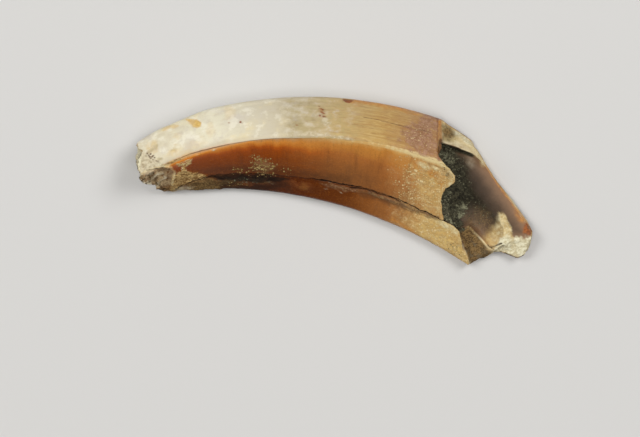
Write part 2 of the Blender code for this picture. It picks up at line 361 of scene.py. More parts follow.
@dataclass(frozen=True)
class Form:
    """The tusk's driving sizes, in mm and degrees, and the surfaces that they give."""

    arc_centre: Pair = (-3.4, -40.4)
    keel_reach: float = 51.0
    ridge_reach: float = 46.0
    root_width: float = 15.1
    root_width_angle: float = 33.0
    width_loss: float = 0.0021
    ridge_heights: Table = Table(
        ((-28.0, 5.9), (-20.0, 7.3), (-8.0, 8.2), (12.0, 8.8), (30.0, 9.2))
    )
    keel_lifts: Table = Table(((-28.0, 2.0), (-16.0, 1.1), (-2.0, 0.0), (30.0, 0.0)))
    keel_taper: Table = Table(((-28.0, 1.0), (-21.0, 0.4), (-14.0, 0.0), (30.0, 0.0)))
    keel_radii: Table = Table(((-28.0, 1.2), (-16.0, 1.8), (0.0, 2.3), (30.0, 2.3)))
    ridge_radius: float = 0.6
    inner_edge_radius: float = 0.8
    labial_bulge: float = 0.30
    root_lift_angle: float = 27.0
    root_lift: float = 0.0065
    view: View = View()
    crack_px: Pairs = (
        (184, 184.3), (200, 179.6), (213, 175.6), (232, 174.2), (250, 174), (280, 175.5),
        (310, 178.8), (325, 181), (338, 183.6), (350, 186), (362, 187.8), (375, 191.4),
        (390, 197), (405, 203.4), (420, 210.5), (440, 219.5),
    )  # fmt: skip
    crack_height: float = 5.0
    crack_lowest_share: float = 0.92
    crack_half_widths: Table = Table((
        (-24.0, 0.04), (-18.0, 0.07), (-15.0, 0.18), (-8.0, 0.15), (-4.0, 0.07), (1.0, 0.09),
        (3.0, 0.20), (8.0, 0.18), (11.0, 0.12), (14.0, 0.17), (18.0, 0.26), (22.0, 0.22),
        (25.0, 0.12), (27.0, 0.06),
    ))  # fmt: skip
    crack_depth_share: float = 2.6
    crack_wander: Bumps = Bumps(0.10, 1.1, 51, 3, 0.6)
    crack_ragged: Bumps = Bumps(0.55, 0.8, 52, 3, 0.6)
    crack_least_width: float = 0.3
    crack_notch_power: float = 1.5
    lip_drops: Table = Table((
        (-20.0, 0.0), (-14.0, 0.22), (-5.0, 0.10), (5.0, 0.10), (13.0, 0.30), (20.0, 0.30),
        (26.0, 0.1),
    ))  # fmt: skip
    mouth_angle: float = 25.0
    cavity_keel: Triple = (47.0, 3.0, 1.7)
    cavity_ridge: Triple = (45.3, 5.9, 0.9)
    cavity_inner_height: float = 2.2
    cavity_inner_radius: float = 1.1
    cavity_inner_reaches: Table = Table((
        (25.5, 39.3), (27.1, 39.1), (28.3, 38.9), (29.3, 38.95), (30.7, 40.3), (36.8, 38.9),
        (38.3, 39.7), (41.2, 40.8),
    ))  # fmt: skip
    cavity_middle: complex = 44.6 + 3.7j
    fallen_ridge: complex = 0.15 + 0.35j
    fallen_between: Pair = (25.0, 27.5)
    cavity_apex_angle: float = -3.0
    cavity_taper_power: float = 0.85
    floor_thinning: float = 0.02
    seam_shares: Table = Table(
        ((-26.0, 0.50), (-19.0, 0.28), (-14.0, 0.47), (-8.0, 0.68), (-3.0, 0.95), (0.0, 1.0))
    )
    enamel_step: float = 0.10
    enamel_step_width: float = 0.09
    enamel_step_back: Pair = (5.0, 2.0)
    enamel_step_end: Pair = (6.0, 1.0)
    dentine_end: Pair = (0.75, 0.45)

    def lift(self, angle: Array) -> Array:
        """How far the root end curls up off the table."""
        return self.root_lift * np.maximum(0.0, angle - self.root_lift_angle) ** 2

    def outer_corners(self, angle: Array) -> tuple[Corner, Corner, Corner]:
        """Rounds the corners of the outside.

        Args:
            angle: the angle along the arc at each place.

        Returns:
            The keel, the ridge and the inner edge.
        """
        lift = self.lift(angle)
        keel_radius = self.keel_radii.eased(angle)
        keel_reach = self.keel_reach - self.keel_taper.eased(angle) - keel_radius
        keel_height = self.keel_lifts.eased(angle) + keel_radius + lift
        ridge_height = self.ridge_heights.eased(angle) - self.ridge_radius + lift
        away = np.minimum(angle, self.root_width_angle) - self.root_width_angle
        inner_reach = self.keel_reach - self.root_width + self.width_loss * away * away
        return (
            Corner(keel_reach + 1j * keel_height, keel_radius),
            Corner(self.ridge_reach + 1j * ridge_height, np.full(angle.shape, self.ridge_radius)),
            Corner(
                inner_reach + self.inner_edge_radius + 1j * (self.inner_edge_radius + lift),
                np.full(angle.shape, self.inner_edge_radius),
            ),
        )

    def cavity_scale(self, angle: Array) -> Array:
        """How wide the pulp cavity is, as a share of its width where the near walls end."""
        depth = (angle - self.cavity_apex_angle) / (self.mouth_angle - self.cavity_apex_angle)
        return np.clip(depth, 0.0, 1.0) ** self.cavity_taper_power

    def cavity_corners(self, angle: Array) -> tuple[Corner, Corner, Corner]:
        """Rounds the corners of the pulp cavity: a cone, and a flaring trough beyond it.

        Args:
            angle: the angle along the arc at each place.

        Returns:
            The keel, the ridge and the inner edge.
        """
        scale = self.cavity_scale(angle)
        rise = self.lift(angle) - self.floor_thinning * np.maximum(0.0, angle - self.mouth_angle)
        inner_reach = self.cavity_inner_reaches.straight(angle) + self.cavity_inner_radius
        corners = (
            self.cavity_keel,
            self.cavity_ridge,
            (inner_reach, self.cavity_inner_height, self.cavity_inner_radius),
        )
        return tuple(
            Corner(
                self.cavity_middle + (reach + 1j * height - self.cavity_middle) * scale + 1j * rise,
                radius * scale,
            )
            for reach, height, radius in corners
        )

    def crack_reaches(self) -> Table:
        """Follows the long crack as it runs in the photograph.

        Returns:
            Its reach at each angle.
        """
        places = self.view.in_plan(np.array(self.crack_px), self.crack_height)
        away = places - np.array(self.arc_centre)
        angles = np.degrees(np.arctan2(away[:, 0], away[:, 1]))
        return Table(tuple(zip(angles, np.hypot(away[:, 0], away[:, 1]))))

    def opening(self, angle: Array) -> Opening:
        """Opens the long crack in the posterior face.

        Args:
            angle: the angle along the arc at each place.

        Returns:
            How it opens there.
        """
        _, ridge, inner = self.outer_corners(angle)
        facing = ridge.facing(inner)
        top = ridge.touch(facing).real
        foot = inner.touch(facing).real
        along = np.stack((np.radians(angle) * self.ridge_reach, 0.0 * angle, 0.0 * angle), axis=-1)
        reach = self.crack_reaches().straight(angle) + self.crack_wander.at(along)
        share = np.minimum(self.crack_lowest_share, (top - reach) / (top - foot))
        ragged = np.maximum(self.crack_least_width, 1.0 + self.crack_ragged.at(along))
        half_width = self.crack_half_widths.eased(angle) * ragged
        depth = half_width * self.crack_depth_share
        return Opening(share, half_width, depth, self.lip_drops.eased(angle))

    def section(self, angle: Array, columns: Columns, hollow: bool) -> Array:
        """The outside's or the cavity's section.

        Args:
            angle: the angle along the arc at each ring and column.
            columns: the columns' plan.
            hollow: the cavity's section, in place of the outside's.

        Returns:
            Each place's reach + height i, in mm.
        """
        places = np.empty(angle.shape, complex)
        for stretch in Stretch:
            span = columns.span(stretch)
            share = columns.shares(stretch)
            places[:, span] = self._stretch(stretch, angle[:, span], share, hollow)
        return places

    def _stretch(self, stretch: Stretch, angle: Array, share: Array, hollow: bool) -> Array:
        """Draws one stretch of the section.

        Args:
            stretch: which stretch.
            angle: the angle along the arc at each ring and column.
            share: where its columns lie, as shares of it.
            hollow: the cavity's section, in place of the outside's.

        Returns:
            Each place's reach + height i, in mm.
        """
        keel, ridge, inner = (self.cavity_corners if hollow else self.outer_corners)(angle)
        if hollow and stretch.value >= Stretch.POSTERIOR.value:
            ridge = self._fallen(ridge, inner, angle)
        lingual = inner.facing(keel)
        labial = keel.facing(ridge)
        posterior = ridge.facing(inner)
        top = ridge.touch(posterior)
        foot = inner.touch(posterior)
        crack = self.opening(angle)
        width = crack.half_width * (self.cavity_scale(angle) if hollow else 1.0)
        solid = 0.0 if hollow else 1.0
        down = (foot - top) / np.abs(foot - top)
        middle = top + (foot - top) * crack.share
        upper = middle - down * width
        lower = middle + down * width
        if stretch is Stretch.KEEL:
            return keel.arc(lingual, labial, share)
        if stretch is Stretch.LABIAL:
            return side(keel.touch(labial), ridge.touch(labial), share, self.labial_bulge * solid)
        if stretch is Stretch.RIDGE:
            return ridge.arc(labial, posterior, share)
        if stretch is Stretch.POSTERIOR:
            return side(top, upper, share)
        if stretch is Stretch.CRACK:
            notch = 1.0 - np.abs(2.0 * share - 1.0) ** self.crack_notch_power
            return side(upper, lower, share) - posterior * solid * (
                crack.depth * notch + crack.drop * share
            )
        if stretch is Stretch.LOWER:
            return side(lower, foot, share) - posterior * solid * crack.drop * (1.0 - share) ** 2
        if stretch is Stretch.INNER_EDGE:
            return inner.arc(posterior, lingual, share)
        return side(inner.touch(lingual), keel.touch(lingual), share)

    def _fallen(self, ridge: Corner, inner: Corner, angle: Array) -> Corner:
        """Lowers the cavity's ridge to its inner edge where the near walls are gone.

        Args:
            ridge: the ridge.
            inner: the inner edge.
            angle: the angle along the arc at each place.

        Returns:
            The lowered ridge.
        """
        share = ramp(angle, *self.fallen_between)
        low = inner.centre + self.fallen_ridge
        return Corner(
            ridge.centre + (low - ridge.centre) * share,
            ridge.radius + (inner.radius - ridge.radius) * share,
        )

    def places_round(self, columns: Columns, hollow: bool) -> Array:
        """Each column's place round the section where the near walls end.

        Args:
            columns: the columns' plan.
            hollow: for the cavity's section, in place of the outside's.

        Returns:
            0 at the keel, 1 at the ridge, 2 at the crack, 3 at the inner edge and 4 back at the
            keel, with the share of their distance in plan between them.
        """
        count = columns.count()
        reach = self.section(np.full((1, count), self.mouth_angle), columns, hollow)[0].real
        keel = int(reach.argmax())
        stops = (
            keel,
            columns.place(Stretch.RIDGE),
            columns.place(Stretch.CRACK),
            int(reach.argmin()),
            count + keel,
        )
        places = np.zeros(count)
        for leg, (first, last) in enumerate(zip(stops, stops[1:])):
            index = np.arange(first, last) % count
            share = (reach[index] - reach[first]) / (reach[last % count] - reach[first])
            places[index] = leg + np.clip(share, 0.0, 1.0)
        return places

    def in_space(self, angle: Array, places: Array) -> Array:
        """Sets places of the section in space.

        Args:
            angle: the angle along the arc of each.
            places: the reach + height i of each, in mm.

        Returns:
            Points in mm, in the frame's own axes.
        """
        turn = np.radians(angle)
        return np.stack(
            (
                self.arc_centre[0] + places.real * np.sin(turn),
                self.arc_centre[1] + places.real * np.cos(turn),
                places.imag + 0.0 * turn,
            ),
            axis=-1,
        )


@dataclass(frozen=True)
class Breaks:
    """Where the tusk is broken: the angle of each edge, by place round the section.

    Attributes:
        outer: the root's edge on the outside.
        inner: the root's edge in the cavity.
        tip: the tip's edge.
        cap_angle: the angle of the middle of the tip's break.
        tip_teeth, outer_teeth, inner_teeth: the edges' fine teeth, in degrees.
        cap_bumps, rim_bumps: the lumps and the crumbs of the tip's and the root's break, in mm.
        fade: how fast the bumps rise from a break's edges.
        places_round: how many places there are round the section.
        place_reach: how far one place is from the next, in mm.
    """

    outer: Table = Table((
        (0.00, 19.6), (0.03, 19.0), (0.30, 19.35), (0.55, 19.75), (0.81, 20.2), (0.96, 20.8),
        (1.01, 21.4), (1.04, 21.9), (1.07, 22.5), (1.10, 23.2), (1.14, 23.7), (1.18, 24.3),
        (1.24, 24.7), (1.30, 24.75), (1.38, 24.35), (1.46, 23.85), (1.54, 23.7), (1.60, 23.7),
        (1.72, 24.0), (1.79, 24.5), (1.90, 25.2), (2.00, 26.0), (2.03, 27.8), (2.13, 29.4),
        (2.33, 30.5), (2.64, 32.0), (2.86, 34.2), (3.01, 34.6), (3.04, 34.85), (3.065, 34.6),
        (3.10, 35.5), (3.13, 36.35), (3.20, 36.6), (3.255, 38.2), (3.275, 39.5), (3.30, 41.2),
        (3.36, 41.7), (3.42, 41.6), (3.48, 41.1), (3.555, 40.3), (3.585, 39.0), (3.605, 37.9),
        (3.663, 34.5), (3.70, 32.3), (3.75, 30.1), (3.81, 28.1), (3.87, 26.4), (3.905, 25.2),
        (3.935, 24.6), (3.95, 23.4), (3.965, 22.0), (3.98, 20.6), (4.00, 19.6),
    ))  # fmt: skip
    inner: Table = Table((
        (0.00, 20.5), (0.30, 20.9), (0.50, 20.8), (0.62, 20.3), (0.85, 20.6), (0.97, 21.3),
        (1.00, 21.8), (1.07, 22.5), (1.20, 23.5), (1.33, 24.0), (1.53, 23.75), (1.72, 23.25),
        (1.92, 23.4), (2.00, 24.6), (2.04, 26.6), (2.13, 27.9), (2.30, 28.7), (2.50, 29.1),
        (2.70, 29.4), (2.80, 29.7), (2.90, 30.3), (2.96, 30.8), (2.997, 31.4), (3.002, 33.2),
        (3.012, 35.2), (3.031, 36.9), (3.06, 37.3), (3.12, 37.7), (3.17, 38.0), (3.22, 38.6),
        (3.275, 39.7), (3.33, 40.5), (3.38, 40.6), (3.455, 39.9), (3.525, 38.7), (3.575, 37.6),
        (3.62, 36.4), (3.67, 34.2), (3.73, 32.0), (3.825, 29.8), (3.92, 27.7), (3.947, 27.0),
        (3.967, 26.1), (3.973, 25.2), (3.978, 23.9), (3.994, 22.7), (4.00, 20.5),
    ))  # fmt: skip
    tip: Table = Table((
        (0.00, -25.7), (0.12, -25.9), (0.27, -25.4), (0.36, -26.2), (0.60, -27.2),
        (0.86, -27.4), (1.00, -27.2), (1.05, -25.7), (1.40, -25.3), (2.00, -25.4),
        (3.00, -25.4), (3.01, -26.0), (3.05, -26.1), (3.08, -27.1), (3.12, -27.8),
        (3.25, -28.0), (3.35, -27.6), (3.62, -27.3), (3.76, -26.7), (3.85, -26.0),
        (4.00, -25.7),
    ))  # fmt: skip
    cap_angle: float = -27.0
    tip_teeth: Bumps = Bumps(0.16, 0.9, 11, 4, 0.6)
    outer_teeth: Bumps = Bumps(0.16, 0.9, 12, 4, 0.6)
    inner_teeth: Bumps = Bumps(0.16, 0.9, 13, 4, 0.6)
    cap_bumps: tuple[Bumps, Bumps] = (Bumps(0.20, 1.7, 21, 3, 0.5), Bumps(0.05, 0.45, 22, 3, 0.6))
    rim_bumps: tuple[Bumps, Bumps] = (Bumps(0.12, 1.3, 21, 3, 0.5), Bumps(0.045, 0.35, 22, 3, 0.6))
    fade: float = 5.0
    places_round: float = 4.0
    place_reach: float = 9.5

    def ragged(self, table: Table, teeth: Bumps, places: Array) -> Array:
        """The angles of an edge with its fine teeth.

        Args:
            table: the edge's run.
            teeth: the teeth, in degrees.
            places: each column's place round the section.

        Returns:
            One angle for each column.
        """
        turn = places / self.places_round * 2.0 * math.pi
        radius = self.place_reach * self.places_round / (2.0 * math.pi)
        ring = np.stack((radius * np.cos(turn), radius * np.sin(turn), 0.0 * turn), axis=-1)
        return table.straight(places) + teeth.at(ring)

    def broken(self, points: Array, bumps: tuple[Bumps, Bumps], share: Array) -> Array:
        """Roughens a broken face.

        Args:
            points: the face, by ring and column.
            bumps: its lumps and its crumbs, in mm.
            share: each ring's place across the face, from 0 to 1. The bumps fade at both ends.

        Returns:
            The face's points, none of them under the table.
        """
        lumps, crumbs = bumps
        inward = np.minimum(1.0, self.fade * (1.0 - np.abs(2.0 * share - 1.0)))[..., None]
        moved = points + lumps.shift(points) * inward
        moved = moved + crumbs.shift(points) * inward
        moved[..., 2] = np.maximum(moved[..., 2], np.minimum(points[..., 2], 0.0))
        return moved


@dataclass
class Skin:
    """The tusk's surface as a grid of rings and columns.

    Attributes:
        columns: the columns' plan.
        points: each vertex, in mm, by ring and column.
        angle: its angle along the arc, in degrees.
        from_rim: how far it is inside the hollow from the broken edge, in mm; 0 elsewhere.
        through: how far through the wall it is on a break, from 0 outside to 1 inside.
        region: the region of each ring.
    """

    columns: Columns
    points: Array
    angle: Array
    from_rim: Array
    through: Array
    region: Array

    def normals(self) -> Array:
        """Works out which way the skin faces.

        Returns:
            The outward normal at each vertex.
        """
        around = np.roll(self.points, -1, axis=1) - np.roll(self.points, 1, axis=1)
        ahead = np.gradient(self.points, axis=0)
        normal = np.cross(around, ahead)
        return normal / np.maximum(np.linalg.norm(normal, axis=-1, keepdims=True), 1e-9)

    def rings(self, *regions: Region) -> Array:
        """Which rings are in the regions, as a column of yes and no."""
        return np.isin(self.region, [region.value for region in regions])[:, None]

    def stretches(self, *stretches: Stretch) -> Array:
        """Marks the columns of some stretches.

        Args:
            stretches: the stretches.

        Returns:
            A row of yes and no.
        """
        chosen = np.zeros((1, self.columns.count()), bool)
        for stretch in stretches:
            chosen[0, self.columns.span(stretch)] = True
        return chosen


class Stain(Enum):
    """What a mark is made of, or the painted shade or painted light that it stands for. Each has
    its own attribute on the mesh and its own finish.
    """

    MAUVE = "mauve"
    OCHRE = "ochre"
    OLIVE = "olive"
    AMBER = "amber"
    UMBER = "umber"
    RUST = "rust"
    EARTH = "earth"
    GREY = "grey"
    BONE = "bone"
    CREAM = "cream"
    # Chalk, and painted light on the highlight chip and on the tip's end.
    CHALK = "chalk"
    CRUST = "crust"
    SILT = "silt"
    LICHEN = "lichen"
    # Dirt, and painted shade in the slit and by the near wall.
    DIRT = "dirt"
    GRIT = "grit"
    # Soot-black dirt, and painted shadow under the crack's overhang.
    SOOT = "soot"


class Surface(Enum):
    """Which part of the tusk a mark lies on."""

    ENAMEL = 0
    DENTINE = 1
    OUTSIDE = 2
    TIP = 3
    ROOT = 4
    HOLLOW = 5


@dataclass(frozen=True)
class Spot:
    """An oval, in pixels of the photograph. Its tilt is in degrees, clockwise as seen."""

    centre: Pair
    radii: Pair
    tilt: float = 0.0

    def inside(self, photo: Array) -> Array:
        """Measures places against the oval.

        Args:
            photo: the places, in pixels of the photograph.

        Returns:
            How far inside it each is, in pixels; less than 0 outside it.
        """
        turn = math.radians(self.tilt)
        away = photo - np.array(self.centre)
        along = away[..., 0] * math.cos(turn) + away[..., 1] * math.sin(turn)
        across = away[..., 1] * math.cos(turn) - away[..., 0] * math.sin(turn)
        share = np.hypot(along / self.radii[0], across / self.radii[1])
        return (1.0 - share) * min(self.radii)


def distance_to_line(photo: Array, first: Pair, last: Pair) -> Array:
    """Measures how far places are from a straight stretch.

    Args:
        photo: the places, in pixels of the photograph.
        first: where the stretch starts.
        last: where it ends.

    Returns:
        The distances, in pixels.
    """
    start = np.array(first)
    way = np.array(last) - start
    share = np.clip(((photo - start) @ way) / (way @ way), 0.0, 1.0)
    return np.linalg.norm(photo - start - share[..., None] * way, axis=-1)


@dataclass(frozen=True)
class Line:
    """A line of straight stretches, in pixels of the photograph, with its half width."""

    points: Pairs
    half_width: float

    def inside(self, photo: Array) -> Array:
        """How far inside the line each place is, in pixels; less than 0 outside it."""
        away = [distance_to_line(photo, *ends) for ends in zip(self.points, self.points[1:])]
        return self.half_width - np.min(away, axis=0)


@dataclass(frozen=True)
class Patch:
    """An area inside an outline, in pixels of the photograph."""

    outline: Pairs

    def inside(self, photo: Array) -> Array:
        """Measures places against the outline.

        Args:
            photo: the places, in pixels of the photograph.

        Returns:
            How far inside it each is, in pixels; less than 0 outside it.
        """
        edge = np.full(photo.shape[:-1], np.inf)
        within = np.zeros(photo.shape[:-1], bool)
        for first, last in zip(self.outline, self.outline[1:] + self.outline[:1]):
            edge = np.minimum(edge, distance_to_line(photo, first, last))
            rises = (first[1] > photo[..., 1]) != (last[1] > photo[..., 1])
            drop = last[1] - first[1] if last[1] != first[1] else 1.0
            crossing = first[0] + (photo[..., 1] - first[1]) * (last[0] - first[0]) / drop
            within ^= rises & (photo[..., 0] < crossing)
        return np.where(within, edge, -edge)


@dataclass(frozen=True)
class Mark:
    """One stain, crust, chip or pit, or a painted shade or highlight.

    Attributes:
        stain: what it is made of.
        surface: what it lies on.
        shape: where it is.
        strength: how much of what is under it it hides, from 0 to 1.
        soft: how wide its edge is, in pixels.
        ragged: how far its edge strays, in pixels.
        relief: how far it stands up, in mm; less than 0 for a pit or a chip.
        crumb: how rough it is, in mm.
    """

    stain: Stain
    surface: Surface
    shape: Spot | Line | Patch
    strength: float
    soft: float
    ragged: float
    relief: float = 0.0
    crumb: float = 0.0


def enamel_marks() -> list[Mark]:
    """Places the marks on the pale band above the ridge.

    Returns:
        The marks, in order.
    """
    on = Surface.ENAMEL
    gold = Patch((
        (185.5, 119.3), (190, 118.6), (196, 119), (201, 122.5), (200.4, 126.6), (196.8, 128.4),
        (192.5, 126.4), (189, 122.4),
    ))  # fmt: skip
    purple = Patch((
        (396, 137), (408, 125), (424, 112), (438, 108), (439, 160), (426, 159), (408, 153),
    ))  # fmt: skip
    scratch = Line(((363, 117), (383, 121), (400, 125.2), (431, 132.5)), 0.35)
    second_scratch = Line(((352, 124.5), (372, 127.5), (394, 131.5)), 0.3)
    red_streak = Line(((386, 124.4), (402, 127.6), (418, 131), (436, 137)), 0.6)
    third_scratch = Line(((372, 133), (392, 138), (412, 145)), 0.25)
    near_edge = Line(((437.8, 117), (438.2, 135), (437.6, 150), (438.0, 160)), 0.9)
    top_edge = Line(((352, 99.5), (370, 101), (395, 105), (416, 109.5)), 3.6)
    by_seam = Line(((288, 135), (310, 134), (332, 136), (352, 140)), 1.6)
    tip_ochre = Spot((152, 147), (7, 5), -50)
    tip_olive = Line(((146, 153), (151, 151), (157, 145)), 1.4)
    keel_ochre = Line(((163, 129.5), (170, 127), (177, 125.6)), 1.5)
    seam_ochre = Spot((174, 152.5), (8, 4), -25)
    seam_olive = Spot((174, 150), (4, 2.2), -30)
    seam_ochre_end = Spot((187, 153.5), (7, 2.5), -22)
    faint_streak = Spot((176, 137), (7, 2), -20)
    ridge_olive = Spot((160, 158.6), (2.6, 1.8))
    ridge_ochre = Spot((197, 144), (12, 4), -18)
    first_blush = Spot((210, 130), (4, 7))
    second_blush = Spot((230, 113), (6, 7))
    ridge_pit = Spot((158, 161.2), (1.4, 1.0))
    keel_chip = Spot((348, 98.4), (5.0, 3.8), 8)
    red_about_dots = Spot((322.0, 112), (3.4, 6.0))
    middle_olive = Spot((296, 122), (7, 6))
    olive_by_dots = Spot((313, 116), (4, 5))
    keel_olive = Spot((300, 103), (14, 3))
    bone_below_dots = Spot((325, 122), (4.5, 3.5), 20)
    keel_bone = Spot((282, 110), (6, 5))
    purple_corner = Spot((433, 115), (11, 5), 22)
    dry_corner = Spot((423, 137), (18, 15), 25)
    dots = (
        (229.5, 122.6, 0.7, 0.5), (240.4, 122.0, 0.9, 0.9), (242.4, 122.8, 0.5, 0.6),
        (297.0, 125.0, 0.6, 0.6), (320.5, 108.5, 0.8, 0.9), (323.4, 109.8, 0.7, 0.8),
        (321.2, 112.2, 0.9, 0.9), (324.6, 113.2, 0.8, 0.9), (320.2, 115.4, 0.9, 0.8),
        (323.2, 116.2, 0.8, 0.9), (319.2, 111.0, 0.6, 0.7), (325.6, 116.8, 0.6, 0.7),
        (318.6, 106.2, 0.6, 0.6), (405.5, 141.0, 0.6, 0.6), (306.5, 121.8, 0.5, 0.5),
    )  # fmt: skip
    dot_across = 1.4
    dot_down = 1.2
    dot_strength = 1.25
    marks = []
    for x, y, size, strength in dots:
        dot = Spot((x, y), (size * dot_across, size * dot_down))
        marks.append(Mark(Stain.RUST, on, dot, strength * dot_strength, 1.0, 0.3, -0.03))
    return marks + [
        Mark(Stain.OCHRE, on, gold, 1.0, 1.8, 0.9),
        Mark(Stain.OCHRE, on, tip_ochre, 0.36, 4.0, 3.0),
        Mark(Stain.OLIVE, on, tip_olive, 0.50, 3.0, 2.0),
        Mark(Stain.OCHRE, on, keel_ochre, 0.52, 2.4, 1.4),
        Mark(Stain.OCHRE, on, seam_ochre, 0.48, 6.0, 4.0),
        Mark(Stain.OLIVE, on, seam_olive, 0.34, 4.0, 3.0),
        Mark(Stain.OCHRE, on, seam_ochre_end, 0.28, 4.0, 3.0),
        Mark(Stain.OCHRE, on, faint_streak, 0.22, 4.0, 3.0),
        Mark(Stain.OLIVE, on, ridge_olive, 0.62, 2.4, 0.8),
        Mark(Stain.OCHRE, on, ridge_ochre, 0.20, 7.0, 3.0),
        Mark(Stain.OCHRE, on, first_blush, 0.26, 6.0, 2.0),
        Mark(Stain.OCHRE, on, second_blush, 0.24, 6.0, 2.0),
        Mark(Stain.UMBER, on, ridge_pit, 0.6, 1.5, 0.5, -0.04),
        Mark(Stain.RUST, Surface.OUTSIDE, keel_chip, 1.0, 1.8, 0.8, -0.20),
        Mark(Stain.RUST, on, red_about_dots, 0.40, 4.0, 1.5),
        Mark(Stain.OLIVE, on, middle_olive, 0.50, 6.0, 3.0),
        Mark(Stain.OLIVE, on, olive_by_dots, 0.36, 5.0, 3.0),
        Mark(Stain.OLIVE, on, keel_olive, 0.36, 5.0, 3.0),
        Mark(Stain.BONE, on, bone_below_dots, 0.62, 4.0, 2.5),
        Mark(Stain.BONE, on, keel_bone, 0.40, 6.0, 3.0),
        Mark(Stain.BONE, on, by_seam, 0.62, 3.0, 1.5),
        Mark(Stain.UMBER, on, scratch, 0.75, 0.9, 0.6, -0.03),
        Mark(Stain.UMBER, on, second_scratch, 0.45, 0.9, 0.6, -0.02),
        Mark(Stain.UMBER, on, third_scratch, 0.40, 0.9, 0.6, -0.02),
        Mark(Stain.RUST, on, red_streak, 0.40, 1.8, 1.2, -0.01),
        Mark(Stain.RUST, on, near_edge, 0.46, 1.8, 1.0),
        Mark(Stain.UMBER, on, near_edge, 0.34, 1.4, 1.4),
        Mark(Stain.MAUVE, on, purple, 0.80, 27.0, 10.0, 0.0, 0.006),
        Mark(Stain.MAUVE, on, purple_corner, 0.95, 6.0, 2.0),
        Mark(Stain.CRUST, on, dry_corner, 0.13, 18.0, 8.0, 0.0, 0.01),
        Mark(Stain.AMBER, on, top_edge, 0.85, 7.0, 2.5),
    ]


def tip_marks() -> list[Mark]:
    """Places the marks and chips of the crumbled tip.

    Returns:
        The marks, in order.
    """
    on = Surface.TIP
    facet = Patch((
        (137, 177), (143, 174), (149, 171), (156, 169), (164, 168.5), (171.5, 170.5),
        (173.5, 174), (171, 184), (163, 193), (136, 193),
    ))  # fmt: skip
    chalk = Patch((
        (134, 150), (142, 151.5), (149, 157), (156, 162), (164, 167), (150, 170), (142, 175),
        (134, 178),
    ))  # fmt: skip
    # Dark lines in the facet's folds: painted shade, beside the painted highlights of lit_folds.
    folds = (
        (((141, 184), (147, 178), (153, 174.5)), 0.558),
        (((150, 186), (155, 180.5), (160, 177.5), (165, 177)), 0.62),
        (((158, 188), (162, 183.5), (168, 180.5)), 0.62),
        (((157, 174.4), (162, 172.8), (169, 173.6)), 0.62),
    )
    lit_folds = (
        (((143, 187), (150, 180.5), (156, 176.8), (163, 175)), 0.9),
        (((153, 189), (159, 183.0), (166, 178.6)), 0.8),
    )
    crevice = Line(((147, 170.2), (156, 168.6), (165, 168.8), (171, 170.8)), 0.45)
    lit_rim = Line(((140, 175), (148, 170), (155, 167.8), (164, 167.4), (172, 168.6)), 0.9)
    sliver = Line(((163, 166.8), (171.5, 167.6), (174.6, 172.5), (173.4, 178), (171.6, 184)), 0.8)
    valley = Line(((142, 152), (150, 157), (158, 162.5), (164, 167)), 0.6)
    dull_seam = Line(((163, 166), (172, 162), (181, 158.5)), 1.6)
    pits = (
        (148.5, 155.0), (150.5, 153.8), (153.0, 155.5), (150.0, 158.0), (152.5, 159.5),
        (154.5, 157.5), (147.0, 153.2), (155.5, 161.0), (146.0, 156.0), (144.0, 166.4),
        (142.8, 164.4), (151.2, 161.8), (149.2, 156.4), (151.6, 156.6), (157.6, 162.4),
        (145.4, 164.0), (143.4, 168.2),
    )  # fmt: skip
    # Chalk on the tip's left end, painted brighter because that end faces away from the lamps:
    # chalk and painted light.
    lit_chalk_end = Spot((137.5, 160), (3.2, 13), 4)
    chalk_lobe = Spot((161, 165), (5, 2), 15)
    mauve_end = Spot((143.5, 179), (6, 6), 20)
    dark_end = Spot((168, 180), (6, 7), 20)
    earth_foot = Spot((163, 187), (12, 4))
    bone_fold = Spot((149.5, 174), (6, 2.6), -18)
    bone_foot = Spot((142, 184.5), (1.6, 2.2))
    red_fold = Spot((141.5, 180), (2.2, 3.5), 15)
    cream_knob = Spot((168, 165.4), (2.5, 1.6))
    marks = [
        Mark(Stain.BONE, on, chalk, 1.0, 4.5, 2.0, -0.06, 0.09),
        Mark(Stain.CHALK, on, lit_chalk_end, 0.85, 3.0, 1.5, 0.0, 0.04),
        Mark(Stain.CHALK, on, chalk_lobe, 0.55, 3.0, 1.2, 0.02, 0.03),
        Mark(Stain.GREY, on, facet, 1.0, 2.2, 1.2, -0.20, 0.05),
        Mark(Stain.MAUVE, on, mauve_end, 0.62, 6.0, 2.0),
        Mark(Stain.UMBER, on, dark_end, 0.40, 6.0, 2.0),
        Mark(Stain.EARTH, on, earth_foot, 0.70, 5.0, 2.0, 0.0, 0.04),
        Mark(Stain.BONE, on, bone_fold, 0.42, 3.0, 1.6, 0.06, 0.03),
        Mark(Stain.BONE, on, bone_foot, 0.70, 2.0, 1.0, 0.05),
        Mark(Stain.RUST, on, red_fold, 0.32, 2.5, 1.2),
        Mark(Stain.SOOT, on, crevice, 0.90, 1.6, 0.9, -0.16),
        Mark(Stain.CREAM, on, lit_rim, 0.60, 2.0, 0.9, 0.06),
        Mark(Stain.CREAM, on, sliver, 0.85, 1.5, 0.6, 0.12),
        Mark(Stain.UMBER, on, valley, 0.34, 2.0, 1.0, -0.08),
        Mark(Stain.SILT, on, dull_seam, 0.75, 2.4, 1.0),
        Mark(Stain.CREAM, on, cream_knob, 0.7, 1.6, 0.6, 0.05),
    ]
    for way, strength in folds:
        marks.append(Mark(Stain.UMBER, on, Line(way, 1.0), strength, 2.2, 1.1, -0.20))
    for way, strength in lit_folds:
        marks.append(Mark(Stain.BONE, on, Line(way, 0.9), strength, 2.0, 0.9, 0.12))
    for pit in pits:
        marks.append(Mark(Stain.UMBER, on, Spot(pit, (0.95, 0.8)), 1.0, 0.9, 0.3, -0.08))
    return marks


